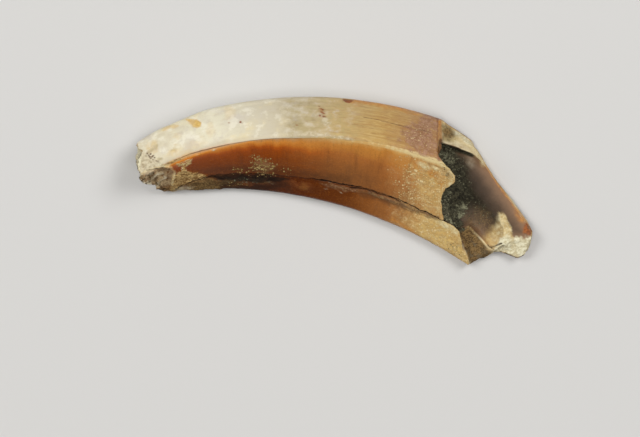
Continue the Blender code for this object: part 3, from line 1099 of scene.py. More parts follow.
def dentine_marks() -> list[Mark]:
    """Places the marks on the amber face below the ridge.

    Returns:
        The marks, in order.
    """
    on = Surface.DENTINE
    tip_crust = Patch((
        (176, 164.5), (180, 162), (185, 161.5), (188, 159.2), (192.4, 159.6), (191.5, 162.5),
        (188, 164.6), (186.2, 168), (187, 171.5), (181.5, 171.5), (181, 167.4), (177, 166.8),
    ))  # fmt: skip
    long_crust = Patch((
        (172, 176), (178, 172), (184, 170.3), (190, 171.3), (198, 172.5), (206, 174.8),
        (207.5, 177.3), (200, 179), (192, 181), (184, 185), (177, 190), (169, 190),
    ))  # fmt: skip
    low_crust = Patch(
        ((187, 184), (196, 180.5), (206, 178.5), (215, 180.5), (221, 184), (225, 194), (188, 194))
    )
    dark_zone = Patch((
        (209, 175.6), (235, 174.4), (258, 174.6), (276, 176.4), (290, 179), (280, 182),
        (260, 182.2), (238, 181.2), (218, 179),
    ))  # fmt: skip
    below_dark = Patch(((216, 179), (262, 180), (286, 181), (292, 187), (262, 192), (222, 192)))
    dim_above = Patch(((205, 170), (235, 165), (290, 168), (352, 177), (350, 184), (290, 177)))
    left_crack = Line(((210, 176.5), (202, 178), (192, 181), (184, 184.5), (176, 189)), 0.45)
    tan_band = Patch((
        (319, 182.5), (331, 183.6), (343, 185.6), (356, 188.8), (364, 192), (356, 192.5),
        (343, 190.5), (330, 187.6),
    ))  # fmt: skip
    shadow = Line(((350, 187), (362, 189), (376, 192.6), (390, 197), (400, 201.5)), 0.7)
    lower_shadow = Line(((372, 196.5), (388, 202.4), (402, 208), (418, 214), (440, 221)), 0.35)
    ledge = Line(((368, 192.5), (384, 198), (402, 205), (418, 211), (438, 218)), 1.5)
    chips = (
        (326.3, 188.6, 0.9), (341.0, 192.2, 0.7), (329.5, 182.2, 0.6),
        (268.5, 182.0, 0.8), (272.5, 183.4, 0.7), (246.5, 182.6, 0.7),
    )  # fmt: skip
    chip_flatness = 0.8
    near_root = Patch((
        (402, 164), (414, 161), (432, 168), (454, 174), (452, 190), (445, 205), (446, 221),
        (430, 214), (414, 206), (402, 196), (396, 180),
    ))  # fmt: skip
    yellow_root = Patch((
        (418, 168), (434, 170), (452, 176), (450, 190), (443, 205), (443, 219), (426, 210),
        (418, 190),
    ))  # fmt: skip
    lower_root = Patch(
        ((422, 218), (432, 219.5), (444, 221), (458, 231), (474, 264), (440, 250), (416, 234))
    )
    lobe = Line(((440, 163), (447, 168), (452, 175), (452.5, 181), (447, 187)), 1.8)
    low_edge = Line(((392, 219), (415, 234), (440, 250), (462, 263)), 2.0)
    cream_groove = Line(((428, 163.5), (437, 167), (445, 173), (449, 179)), 0.8)
    lit_lip = Patch(((434, 222), (444, 219.5), (452, 224.5), (458, 231), (457, 235), (446, 230)))
    # A white chip on the ridge, painted brighter: partly chip, partly painted highlight.
    highlight_chip = Spot((213.7, 150.4), (1.8, 1.0), -25)
    cream_chip = Spot((197, 155.4), (1.2, 0.7), -25)
    crust_shade = Spot((206, 184), (16, 3), -6)
    crust_dust = Spot((203, 185), (14, 5))
    bone_ledge = Spot((183, 188.4), (9, 1.8), -12)
    lichen_middle = Spot((262, 166), (13, 9), 20)
    olive_middle = Spot((263, 167), (10, 8), 20)
    lichen_left = Spot((237, 170), (7, 3.4), -10)
    lichen_top = Spot((253, 157), (4, 3))
    lichen_right = Spot((285, 170), (9, 4))
    lichen_by_crack = Spot((247, 172.8), (12, 1.6))
    earth_below_crack = Spot((228, 182), (16, 3))
    rust_below_crack = Spot((248, 183.4), (24, 3.0), 2)
    rust_further_on = Spot((294, 184), (18, 3.4), 6)
    brown_further_on = Spot((300, 188), (24, 4), 8)
    silt_below_crack = Spot((224, 183), (12, 3.2))
    silt_further_on = Spot((264, 182.4), (9, 1.6), 4)
    grit_in_dark = Spot((241, 180), (22, 2.4))
    lichen_low = Spot((234, 185), (16, 3.0))
    amber_fleck = Spot((303, 187), (5, 3))
    ledge_shade = Line(((360, 193), (380, 199), (404, 208)), 2.6)
    dark_cloud = Spot((372, 172), (18, 12), -12)
    middle_bar = Spot((356, 164), (2.5, 9), 8)
    right_bar = Spot((371, 168), (2.2, 8), 10)
    left_bar = Spot((349, 172), (2.0, 8), 6)
    crust_by_seam = Spot((414, 172), (10, 5), 15)
    crust_by_root = Spot((432, 180), (8, 6), 30)
    cream_by_seam = Spot((424, 165.5), (7, 2.8), 28)
    lobe_grit = Spot((447, 174), (5, 8))
    low_grit = Spot((455, 250), (10, 8), 30)
    amber_by_lobe = Spot((433, 175), (8, 3.5), 36)
    amber_below_lobe = Spot((442, 184), (5, 3), 20)
    lobe_hollow = Spot((448, 175.5), (2.4, 1.4), 40)
    cream_by_lobe = Spot((436, 168.5), (5, 1.8), 30)
    marks = [
        Mark(Stain.CHALK, Surface.OUTSIDE, highlight_chip, 1.0, 0.9, 0.2, 0.05),
        Mark(Stain.CREAM, Surface.OUTSIDE, cream_chip, 0.6, 1.0, 0.3, 0.03),
        Mark(Stain.CRUST, on, tip_crust, 0.95, 2.5, 1.6, 0.06, 0.07),
        Mark(Stain.SILT, on, long_crust, 0.95, 2.2, 1.6, 0.10, 0.09),
        Mark(Stain.EARTH, on, low_crust, 0.85, 5.0, 2.5, 0.16, 0.10),
        Mark(Stain.SILT, on, low_crust, 0.45, 5.0, 2.5),
        Mark(Stain.UMBER, on, crust_shade, 0.40, 5.0, 3.0),
        Mark(Stain.SILT, on, crust_dust, 0.42, 7.0, 3.0, 0.0, 0.04),
        Mark(Stain.BONE, on, bone_ledge, 0.60, 3.0, 1.2, 0.06, 0.04),
        Mark(Stain.SOOT, on, left_crack, 0.95, 1.2, 0.8, -0.10),
        Mark(Stain.LICHEN, on, lichen_middle, 0.58, 9.0, 3.0, 0.0, 0.03),
        Mark(Stain.OLIVE, on, olive_middle, 0.30, 8.0, 3.0),
        Mark(Stain.LICHEN, on, lichen_left, 0.52, 4.0, 1.6, 0.0, 0.03),
        Mark(Stain.LICHEN, on, lichen_top, 0.46, 4.0, 1.6, 0.0, 0.03),
        Mark(Stain.LICHEN, on, lichen_right, 0.30, 5.0, 2.0, 0.0, 0.02),
        Mark(Stain.LICHEN, on, lichen_by_crack, 0.30, 3.0, 1.5, 0.0, 0.03),
        Mark(Stain.SOOT, on, dim_above, 0.40, 9.0, 2.0),
        Mark(Stain.SOOT, on, dark_zone, 1.15, 5.0, 1.6, 0.0, 0.05),
        Mark(Stain.EARTH, on, earth_below_crack, 0.60, 4.0, 2.5, 0.0, 0.04),
        Mark(Stain.SOOT, on, below_dark, 0.62, 6.0, 4.0, 0.0, 0.03),
        Mark(Stain.RUST, on, rust_below_crack, 0.70, 3.0, 3.0),
        Mark(Stain.RUST, on, rust_further_on, 0.30, 3.0, 3.0),
        Mark(Stain.UMBER, on, brown_further_on, 0.26, 6.0, 3.0),
        Mark(Stain.SILT, on, silt_below_crack, 0.42, 5.0, 3.0, 0.0, 0.05),
        Mark(Stain.SILT, on, silt_further_on, 0.40, 3.0, 2.0, 0.0, 0.05),
        Mark(Stain.GRIT, on, grit_in_dark, 0.26, 3.0, 2.0, 0.0, 0.04),
        Mark(Stain.LICHEN, on, lichen_low, 0.16, 4.0, 2.0, 0.0, 0.04),
        Mark(Stain.AMBER, on, amber_fleck, 0.32, 4.0, 2.0),
        Mark(Stain.MAUVE, on, tan_band, 0.45, 2.5, 2.0, 0.03, 0.03),
        Mark(Stain.EARTH, on, tan_band, 0.45, 2.5, 2.0, 0.0, 0.04),
        Mark(Stain.SOOT, on, shadow, 1.0, 1.6, 1.4, -0.14),
        Mark(Stain.UMBER, on, lower_shadow, 0.75, 1.3, 0.8, -0.05),
        Mark(Stain.MAUVE, on, ledge, 0.55, 2.0, 1.2, 0.05, 0.03),
        Mark(Stain.EARTH, on, ledge, 0.62, 2.4, 1.6, 0.0, 0.04),
        Mark(Stain.UMBER, on, ledge_shade, 0.55, 4.0, 2.2),
        Mark(Stain.UMBER, on, dark_cloud, 0.22, 14.0, 4.0),
        Mark(Stain.UMBER, on, middle_bar, 0.30, 4.0, 2.0),
        Mark(Stain.UMBER, on, right_bar, 0.34, 4.0, 2.0),
        Mark(Stain.UMBER, on, left_bar, 0.22, 4.0, 2.0),
        Mark(Stain.CRUST, on, near_root, 0.40, 26.0, 12.0, 0.0, 0.05),
        Mark(Stain.OCHRE, on, yellow_root, 0.40, 24.0, 10.0),
        Mark(Stain.CRUST, on, lower_root, 0.50, 8.0, 4.0, 0.0, 0.05),
        Mark(Stain.OCHRE, on, lower_root, 0.62, 12.0, 6.0),
        Mark(Stain.CRUST, on, crust_by_seam, 0.74, 6.0, 3.0, 0.0, 0.05),
        Mark(Stain.CRUST, on, crust_by_root, 0.50, 6.0, 3.0, 0.0, 0.05),
        Mark(Stain.CREAM, Surface.OUTSIDE, lobe, 0.85, 3.0, 1.5, 0.0, 0.03),
        Mark(Stain.CREAM, on, cream_by_seam, 0.80, 3.0, 2.2, 0.02, 0.03),
        Mark(Stain.GRIT, on, lobe_grit, 0.24, 4.0, 2.0, 0.0, 0.02),
        Mark(Stain.GRIT, on, low_grit, 0.20, 5.0, 2.0, 0.0, 0.02),
        Mark(Stain.AMBER, on, amber_by_lobe, 0.80, 3.0, 2.0),
        Mark(Stain.AMBER, on, amber_below_lobe, 0.50, 4.0, 2.0),
        Mark(Stain.OLIVE, on, cream_groove, 0.55, 2.0, 1.6, -0.05),
        Mark(Stain.EARTH, on, lobe_hollow, 0.60, 2.0, 1.4, -0.05),
        Mark(Stain.CREAM, on, cream_by_lobe, 0.80, 2.0, 1.4, 0.04, 0.03),
        Mark(Stain.AMBER, on, low_edge, 0.62, 4.0, 2.0),
        Mark(Stain.CREAM, on, lit_lip, 0.85, 3.0, 1.4),
    ]
    for x, y, size in chips:
        chip = Spot((x, y), (size, size * chip_flatness))
        marks.append(Mark(Stain.CHALK, on, chip, 0.8, 1.0, 0.4, 0.04))
    return marks


def root_marks() -> list[Mark]:
    """Places the marks on the open root: its break and the far wall's inside.

    Returns:
        The marks, in order.
    """
    root = Surface.ROOT
    hollow = Surface.HOLLOW
    # Orange line along the rim: painted highlight on its lit edge.
    lit_rim_line = Line(
        ((484.5, 163), (493, 177), (501.5, 189), (510.5, 201), (519, 213), (528, 225)), 0.8
    )
    near_strip = Patch(((436, 116), (441.6, 117), (442, 140), (441.8, 163), (436, 160)))
    near_low = Line(((440.8, 141), (439.8, 150), (440, 161)), 2.4)
    greenish = Patch(
        ((441, 123), (448, 126.5), (456.5, 131.5), (458, 136.5), (453, 141.5), (442, 140))
    )
    # Dark strip under the keel wall's overhang inside the hollow: painted shade, laid with the dirt
    # stain.
    shaded_slit = Line(((441, 144.5), (455, 148.8), (466, 152), (472, 154.5)), 2.4)
    cream_band = Line(((455, 138.4), (465, 142.6), (472, 148), (480, 157), (484, 163)), 3.0)
    red_end = Patch(((523.5, 226), (528, 221.5), (533, 231), (530, 236), (523, 233)))
    chalky_end = Patch((
        (500, 238), (508, 234), (514, 240), (520, 236.5), (526, 238), (534, 238), (534, 252),
        (528, 264), (498, 264), (493, 251), (497, 245),
    ))  # fmt: skip
    wedge = Patch((
        (498, 214.5), (503.5, 213.6), (506.5, 220), (511, 226.5), (513, 236), (519, 243),
        (520, 256), (508, 256), (501, 246), (502, 234), (500.5, 222),
    ))  # fmt: skip
    soft_wedge = Patch(
        ((492, 232), (498, 218), (505, 222), (510, 236), (512, 252), (500, 254), (490, 248))
    )
    tan_floor = Patch(((480, 243), (488, 234), (497, 226), (500, 240), (498, 252), (486, 249)))
    hidden_rim = Patch((
        (438, 188), (447, 192), (451, 203), (455, 212), (462, 221), (465, 231), (450, 231),
        (438, 214),
    ))  # fmt: skip
    # Dark left part of the hollow by the near wall: dirt and painted shade.
    dirt_and_shade = Patch((
        (436, 141), (447, 144.5), (456, 148.5), (462, 158), (467, 174), (468, 190), (463, 208),
        (458, 228), (440, 228), (436, 180),
    ))  # fmt: skip
    step = Patch(((459.5, 231.5), (469, 225), (491, 253), (484, 260), (470, 264)))
    crack = Line(((487, 247.6), (494, 246.6), (502, 243.6)), 0.7)
    chalk_streak = Line(((455, 132.5), (463, 137), (471, 144)), 1.8)
    chalk_edge = Line(((444, 122), (452, 126), (459, 131)), 0.7)
    earth_groove = Line(((452, 137), (462, 142.5), (470, 148)), 0.6)
    ochre_edge = Line(((443, 122.5), (449, 126), (455, 129.5)), 1.0)
    # Thin pale line on the ledge's right edge: painted highlight.
    lit_near_lip = Line(((469, 225.5), (480, 239.5), (491, 252.5)), 0.5)
    low_lip = Line(((458.6, 232), (462, 245), (470.5, 262)), 0.5)
    amber_by_rim = Spot((520, 216), (4, 8), -35)
    earth_on_green = Spot((448, 132.5), (7, 4.6), 25)
    black_pit = Spot((446.5, 131.5), (1.2, 0.8))
    bone_groove = Spot((461, 140), (5, 2.2), 30)
    grit_at_top = Spot((447, 155), (9, 13), -38)
    grit_at_left = Spot((446, 207), (8, 18), -14)
    grit_in_middle = Spot((461, 174), (8, 26), -18)
    grit_clump = Spot((461, 209), (5.5, 7))
    grit_speck = Spot((448, 193), (3, 2))
    earth_floor = Spot((481, 224), (12, 16), -25)
    grit_floor = Spot((474, 214), (12, 16), -25)
    bone_by_slit = Spot((469, 160), (8, 5), 62)
    dark_nick = Line(((470, 156.6), (474.5, 157.2)), 0.5)
    earth_by_crack = Spot((490, 251.5), (6, 2))
    brown_step = Spot((464, 240), (6, 11), -20)
    brown_step_top = Spot((472, 233), (6, 8), -30)
    olive_step = Spot((482, 250), (6, 5), 30)
    return [
        Mark(Stain.AMBER, root, lit_rim_line, 0.9, 1.6, 0.5),
        Mark(Stain.AMBER, root, near_strip, 0.85, 2.0, 0.6),
        Mark(Stain.UMBER, root, near_low, 0.80, 2.4, 0.8),
        Mark(Stain.RUST, root, red_end, 0.95, 3.0, 1.6),
        Mark(Stain.AMBER, root, amber_by_rim, 0.50, 3.0, 1.2),
        Mark(Stain.OLIVE, root, greenish, 1.1, 4.0, 2.0, 0.0, 0.02),
        Mark(Stain.EARTH, root, earth_on_green, 0.82, 4.0, 2.0, 0.0, 0.02),
        Mark(Stain.SOOT, root, black_pit, 0.5, 1.2, 0.5, -0.03),
        Mark(Stain.CREAM, root, cream_band, 0.65, 5.0, 2.0),
        Mark(Stain.CHALK, root, chalk_streak, 0.85, 3.0, 1.6, 0.05, 0.05),
        Mark(Stain.CHALK, root, chalk_edge, 0.80, 1.2, 0.8, 0.06),
        Mark(Stain.BONE, root, bone_groove, 0.50, 3.0, 1.6, -0.04, 0.03),
        Mark(Stain.EARTH, root, earth_groove, 0.40, 2.0, 1.0, -0.05),
        Mark(Stain.OCHRE, root, ochre_edge, 0.55, 2.0, 1.0),
        Mark(Stain.DIRT, hollow, shaded_slit, 1.1, 3.0, 0.8),
        Mark(Stain.DIRT, hollow, dirt_and_shade, 1.0, 14.0, 3.0, 0.0, 0.04),
        Mark(Stain.GRIT, hollow, grit_at_top, 0.80, 8.0, 3.0, 0.0, 0.06),
        Mark(Stain.GRIT, hollow, grit_at_left, 0.55, 8.0, 3.0, 0.0, 0.06),
        Mark(Stain.GRIT, hollow, grit_in_middle, 0.20, 8.0, 3.0, 0.0, 0.04),
        Mark(Stain.GRIT, hollow, grit_clump, 1.1, 5.0, 2.5, 0.0, 0.08),
        Mark(Stain.GRIT, hollow, grit_speck, 1.0, 2.0, 1.0, 0.0, 0.08),
        Mark(Stain.EARTH, hollow, earth_floor, 0.36, 14.0, 5.0, 0.0, 0.03),
        Mark(Stain.GRIT, hollow, grit_floor, 0.14, 12.0, 4.0, 0.0, 0.03),
        Mark(Stain.BONE, hollow, bone_by_slit, 0.28, 8.0, 2.0),
        Mark(Stain.UMBER, hollow, dark_nick, 0.8, 1.2, 0.3, -0.06),
        Mark(Stain.OCHRE, root, tan_floor, 0.52, 14.0, 3.0),
        Mark(Stain.CREAM, root, soft_wedge, 0.50, 12.0, 3.0),
        Mark(Stain.CREAM, root, wedge, 0.80, 3.5, 2.0, 0.04, 0.02),
        Mark(Stain.CHALK, root, chalky_end, 1.0, 4.0, 3.0, 0.05, 0.09),
        Mark(Stain.SOOT, root, crack, 0.95, 1.4, 0.8, -0.18),
        Mark(Stain.EARTH, root, earth_by_crack, 0.5, 3.0, 1.5, -0.04, 0.03),
        Mark(Stain.DIRT, root, hidden_rim, 1.2, 1.4, 0.6),
        Mark(Stain.GRIT, root, hidden_rim, 0.55, 2.0, 0.8, 0.0, 0.05),
        Mark(Stain.EARTH, root, step, 1.0, 1.8, 0.8, 0.04, 0.03),
        Mark(Stain.SOOT, root, step, 0.22, 6.0, 2.0),
        Mark(Stain.UMBER, root, brown_step, 0.85, 5.0, 2.0),
        Mark(Stain.UMBER, root, brown_step_top, 0.70, 5.0, 2.0),
        Mark(Stain.OLIVE, root, olive_step, 0.40, 4.0, 2.0),
        Mark(Stain.CREAM, root, lit_near_lip, 0.40, 1.2, 0.4),
        Mark(Stain.CREAM, root, low_lip, 0.35, 1.4, 0.5),
    ]


@dataclass(frozen=True)
class Relief:
    """The fine shape of the tusk's surfaces, in mm, and how the edges and crumbs of marks vary."""

    swell: Bumps = Bumps(0.035, 4.5, 41, 2, 0.4)
    striae: Bumps = Bumps(0.011, 0.32, 42, 3, 0.6)
    striae_squeeze: Triple = (26.0, 1.0, 1.0)
    striae_on_dentine: float = 0.35
    bands: Bumps = Bumps(0.006, 0.9, 43, 2, 0.5)
    bands_squeeze: Triple = (1.0, 20.0, 20.0)
    dirt: Bumps = Bumps(0.07, 0.5, 44, 3, 0.6)
    dirt_from_rim: Pair = (1.4, 3.2)
    stray: Bumps = Bumps(1.0, 0.9, 31, 3, 0.6)
    crumb: Bumps = Bumps(1.0, 0.30, 32, 2, 0.6)


class Tusk:
    """The broken tusk: one piece of enamel and dentine, with its cavity, breaks, crust and dirt."""

    CAP_RINGS = 24
    OUTSIDE_RINGS = 196
    RIM_RINGS = 16
    CAVITY_RINGS = 86
    CROWDING = 0.6
    CAVITY_CROWDING = 1.35
    FACE_UP = -0.05
    TIP_MARKS_END = -18.0

    def __init__(self, form: Form, breaks: Breaks, relief: Relief, view: View) -> None:
        """Works out the plain skin.

        Args:
            form: the driving sizes.
            breaks: where the tusk is broken.
            relief: its fine shape.
            view: the photograph's camera, which places the marks.
        """
        self.form = form
        self.breaks = breaks
        self.relief = relief
        self.view = view
        self.columns = Columns()
        self.skin, self.tip, self.apex = self._skin()

    def _skin(self) -> tuple[Skin, Array, Array]:
        """The skin before its marks and its fine shape.

        Returns:
            The skin, the middle of the tip's break and the end of the cavity, in mm.
        """
        form = self.form
        breaks = self.breaks
        outside_places = form.places_round(self.columns, False)
        cavity_places = form.places_round(self.columns, True)
        starts = breaks.ragged(breaks.tip, breaks.tip_teeth, outside_places)
        ends = breaks.ragged(breaks.outer, breaks.outer_teeth, outside_places)
        inner = breaks.ragged(breaks.inner, breaks.inner_teeth, cavity_places)

        share = self._crowded(self.OUTSIDE_RINGS + 1)
        angle = starts + (ends - starts) * share[:, None]
        outside = form.in_space(angle, form.section(angle, self.columns, False))
        cavity_share = (np.arange(self.CAVITY_RINGS) / self.CAVITY_RINGS) ** self.CAVITY_CROWDING
        cavity_angle = inner + (form.cavity_apex_angle - inner) * cavity_share[:, None]
        cavity = form.in_space(cavity_angle, form.section(cavity_angle, self.columns, True))

        middle = outside[0].mean(axis=0)
        reach = math.hypot(middle[0] - form.arc_centre[0], middle[1] - form.arc_centre[1])
        tip = form.in_space(np.array(breaks.cap_angle), np.array(reach + 1j * middle[2]))
        cap_share = (np.arange(1, self.CAP_RINGS) / self.CAP_RINGS)[:, None]
        cap = tip + (outside[0] - tip) * cap_share[..., None]
        cap = breaks.broken(cap, breaks.cap_bumps, cap_share)
        rim_share = (np.arange(1, self.RIM_RINGS) / self.RIM_RINGS)[:, None]
        rim = outside[-1] + (cavity[0] - outside[-1]) * rim_share[..., None]
        rim = breaks.broken(rim, breaks.rim_bumps, rim_share)

        still = np.zeros(self.columns.count())
        grids = (
            (Region.TIP, cap, starts + 0.0 * cap_share, still * cap_share, 1.0 - cap_share),
            (Region.OUTSIDE, outside, angle, 0.0 * angle, 0.0),
            (Region.RIM, rim, ends + (inner - ends) * rim_share, still * rim_share, rim_share),
            (Region.HOLLOW, cavity, cavity_angle, self._distance(cavity, cavity[0]), 1.0),
        )
        regions, points, angles, from_rims, throughs = zip(*grids)
        skin = Skin(
            self.columns,
            points=np.concatenate(points),
            angle=np.concatenate(angles),
            from_rim=np.concatenate(from_rims),
            through=np.concatenate([share + 0.0 * turn for share, turn in zip(throughs, angles)]),
            region=np.concatenate(
                [np.full(len(rings), region.value) for region, rings in zip(regions, points)]
            ),
        )
        apex = form.in_space(np.array(form.cavity_apex_angle), np.array(form.cavity_middle))
        return skin, tip, apex

    def _crowded(self, count: int) -> Array:
        """Shares from 0 to 1 that lie closer together towards both ends."""
        even = np.linspace(0.0, 1.0, count)
        return even + (smooth(even) - even) * self.CROWDING

    @staticmethod
    def _distance(rings: Array, edge: Array) -> Array:
        """How far each place of some rings is from the nearest point of an edge."""
        gaps = (np.linalg.norm(ring[:, None] - edge[None], axis=-1) for ring in rings)
        return np.array([gap.min(axis=1) for gap in gaps])

    def _surfaces(self, normals: Array) -> dict[Surface, Array]:
        """Sorts the vertices by the surface that they lie on.

        Args:
            normals: the plain skin's normals.

        Returns:
            Which vertices each kind of surface holds, where they face up.
        """
        skin = self.skin
        up = normals[..., 2] > self.FACE_UP
        outside = skin.rings(Region.OUTSIDE) & up
        enamel = skin.stretches(Stretch.KEEL, Stretch.LABIAL, Stretch.RIDGE)
        tip = skin.rings(Region.TIP) | (outside & (skin.angle < self.TIP_MARKS_END))
        root = skin.rings(Region.RIM, Region.HOLLOW) & np.ones_like(up)
        return {
            Surface.ENAMEL: outside & enamel,
            Surface.DENTINE: outside & ~enamel,
            Surface.OUTSIDE: outside,
            Surface.TIP: tip,
            Surface.ROOT: root & up,
            Surface.HOLLOW: skin.rings(Region.HOLLOW) & up,
        }

    def _apply_marks(self, marks: list[Mark], normals: Array) -> tuple[dict[Stain, Array], Array]:
        """Works out every mark.

        Args:
            marks: the marks, in order.
            normals: the plain skin's normals.

        Returns:
            How much of each stain there is at each vertex, and how far the vertex moves outward.
        """
        skin = self.skin
        surfaces = self._surfaces(normals)
        photo = self.view.in_photo(skin.points)
        stray = self.relief.stray.shift(skin.points)[..., :2]
        crumb = self.relief.crumb.at(skin.points)
        stains = {stain: np.zeros(skin.angle.shape) for stain in Stain}
        height = np.zeros(skin.angle.shape)
        for mark in marks:
            inside = mark.shape.inside(photo + stray * mark.ragged)
            cover = ramp(inside, -mark.soft / 2.0, mark.soft / 2.0) * surfaces[mark.surface]
            known = stains[mark.stain]
            known[...] = np.maximum(known, cover * mark.strength)
            height += cover * (mark.relief + mark.crumb * crumb)
        return stains, height

    def _fine_shape(self) -> Array:
        """Works out the tusk's own fine shape.

        Returns:
            How far it moves each vertex outward, in mm.
        """
        skin = self.skin
        relief = self.relief
        points = skin.points
        grain = self._grain_places()
        outside = skin.rings(Region.OUTSIDE)
        enamel = outside & ~skin.stretches(Stretch.POSTERIOR, Stretch.CRACK, Stretch.LOWER)
        height = relief.swell.at(points) * outside
        striae = relief.striae.at(grain / np.array(relief.striae_squeeze))
        height += striae * np.where(enamel, 1.0, relief.striae_on_dentine) * outside
        height += relief.bands.at(grain / np.array(relief.bands_squeeze)) * outside
        height += relief.dirt.at(points) * ramp(skin.from_rim, *relief.dirt_from_rim)
        return height

    def _step_at_seam(self) -> Array:
        """Works out the step where the enamel ends.

        Returns:
            How far the posterior face moves outward, in mm; it lies lower, so less than 0.
        """
        form = self.form
        below = self._from_seam()
        drop = ramp(below, 0.0, form.enamel_step_width) * ramp(below, *form.enamel_step_back)
        fades = ramp(self.skin.angle, *form.enamel_step_end)
        return -form.enamel_step * drop * fades * self.skin.rings(Region.OUTSIDE)

    def _from_seam(self) -> Array:
        """Measures round the section from the enamel's lower edge.

        Returns:
            How far each vertex is below it, in mm.
        """
        points = self.skin.points
        steps = np.linalg.norm(np.diff(points, axis=1), axis=-1)
        round_to = np.concatenate((np.zeros((len(points), 1)), np.cumsum(steps, axis=1)), axis=1)
        ridge = self.columns.span(Stretch.RIDGE)
        column = ridge.start + self.form.seam_shares.straight(self.skin.angle[:, ridge.start])
        column = ridge.start + (column - ridge.start) * (ridge.stop - ridge.start)
        columns = np.arange(self.columns.count())
        seam = [np.interp(at, columns, ring) for at, ring in zip(column, round_to)]
        return round_to - np.array(seam)[:, None]

    def _grain_places(self) -> Array:
        """Finds the vertices along the tusk's own grain.

        Returns:
            Mm along the arc, mm from its centre and height, on the last axis.
        """
        points = self.skin.points
        away = points[..., :2] - np.array(self.form.arc_centre)
        reach = np.hypot(away[..., 0], away[..., 1])
        along = np.radians(self.skin.angle) * self.form.ridge_reach
        return np.stack((along, reach, points[..., 2]), axis=-1)

    def build(self) -> bpy.types.Object:
        """Makes the tusk's mesh.

        Returns:
            The tusk, in metres, in the frame's own axes.
        """
        skin = self.skin
        normals = skin.normals()
        marks = enamel_marks() + tip_marks() + dentine_marks() + root_marks()
        stains, marked = self._apply_marks(marks, normals)
        height = self._fine_shape() + marked + self._step_at_seam()
        points = skin.points + normals * height[..., None]
        points[..., 2] = np.maximum(points[..., 2], np.minimum(skin.points[..., 2], 0.0))
        vertices = np.concatenate((self.tip[None], points.reshape(-1, 3), self.apex[None])) * MM
        mesh = bpy.data.meshes.new(PIECE)
        mesh.from_pydata(vertices.tolist(), [], self._faces())
        mesh.shade_smooth()
        for stain, amount in stains.items():
            self._attribute(mesh, stain.value, amount)
        self._describe(mesh)
        mesh.validate()
        piece = bpy.data.objects.new(PIECE, mesh)
        bpy.context.scene.collection.objects.link(piece)
        log.info("%s: %d vertices, %d faces", PIECE, len(mesh.vertices), len(mesh.polygons))
        return piece

    def _faces(self) -> list[tuple[int, ...]]:
        """Joins the vertices.

        Returns:
            The faces: a fan at the tip, quads from ring to ring and a fan at the cavity's end.
        """
        rings, count = self.skin.angle.shape
        index = 1 + np.arange(rings * count).reshape(rings, count)
        after = np.roll(index, -1, axis=1)
        quads = np.stack((index[:-1], after[:-1], after[1:], index[1:]), axis=-1).reshape(-1, 4)
        apex = 1 + rings * count
        faces = [tuple(face) for face in quads.tolist()]
        faces += [(0, first, last) for first, last in zip(after[0].tolist(), index[0].tolist())]
        last_ring = zip(index[-1].tolist(), after[-1].tolist())
        faces += [(apex, first, last) for first, last in last_ring]
        return faces

    def _describe(self, mesh: bpy.types.Mesh) -> None:
        """Writes on the mesh what each vertex is: its tissue, its grain and how far from an edge.

        Args:
            mesh: the tusk's mesh.
        """
        skin = self.skin
        outside = skin.rings(Region.OUTSIDE)
        edge = skin.stretches(Stretch.KEEL, Stretch.LINGUAL)
        rounded = skin.stretches(Stretch.INNER_EDGE)
        share = np.zeros((1, self.columns.count()))
        share[0, self.columns.span(Stretch.INNER_EDGE)] = self.columns.shares(Stretch.INNER_EDGE)
        foot = ramp(share, *self.form.dentine_end)
        dentine = np.where(edge, 0.0, np.where(rounded, foot, 1.0))
        crack = skin.stretches(Stretch.CRACK) & outside
        lower = skin.stretches(Stretch.LOWER, Stretch.INNER_EDGE)
        flags = {
            "dentine": dentine,
            "broken": skin.rings(Region.TIP, Region.RIM),
            "hollow": skin.rings(Region.HOLLOW),
            "crack": crack,
            "below_crack": lower,
            "arc": skin.angle,
            "through": skin.through,
            "from_rim": skin.from_rim,
            "from_seam": self._from_seam(),
        }
        for name, values in flags.items():
            self._attribute(mesh, name, values + 0.0 * skin.angle)
        grain = mesh.attributes.new("grain", "FLOAT_VECTOR", "POINT")
        places = self._grain_places().reshape(-1, 3)
        ends = places[:1], places[-1:]
        grain.data.foreach_set("vector", np.concatenate((ends[0], places, ends[1])).ravel())

    @staticmethod
    def _attribute(mesh: bpy.types.Mesh, name: str, values: Array) -> None:
        """Writes one number on each vertex; the two end points take their neighbours' value."""
        flat = np.concatenate((values[0, :1], values.ravel(), values[-1, :1]))
        mesh.attributes.new(name, "FLOAT", "POINT").data.foreach_set("value", flat)


Socket = bpy.types.NodeSocket
Value = float | Socket


@dataclass(frozen=True)
class Noise:
    """A kind of smooth noise.

    Attributes:
        size: how large its bumps are, in mm.
        detail: how many finer layers it has.
        rough: how strong each finer layer is, as a share of the last.
        squeeze: how much it is squeezed along the tusk's grain, round the section and in height.
            Plain noise in space has none.
    """

    size: float
    detail: float
    rough: float
    squeeze: Triple | None = None


@dataclass(frozen=True)
class Tint:
    """A colour that shows where a noise is high, or where it is low.

    Attributes:
        colour: the colour.
        none: the noise where it doesn't show.
        full: the noise where it shows the most.
        most: how much of what is under it it hides there, from 0 to 1.
    """

    colour: Colour
    none: float
    full: float
    most: float = 1.0


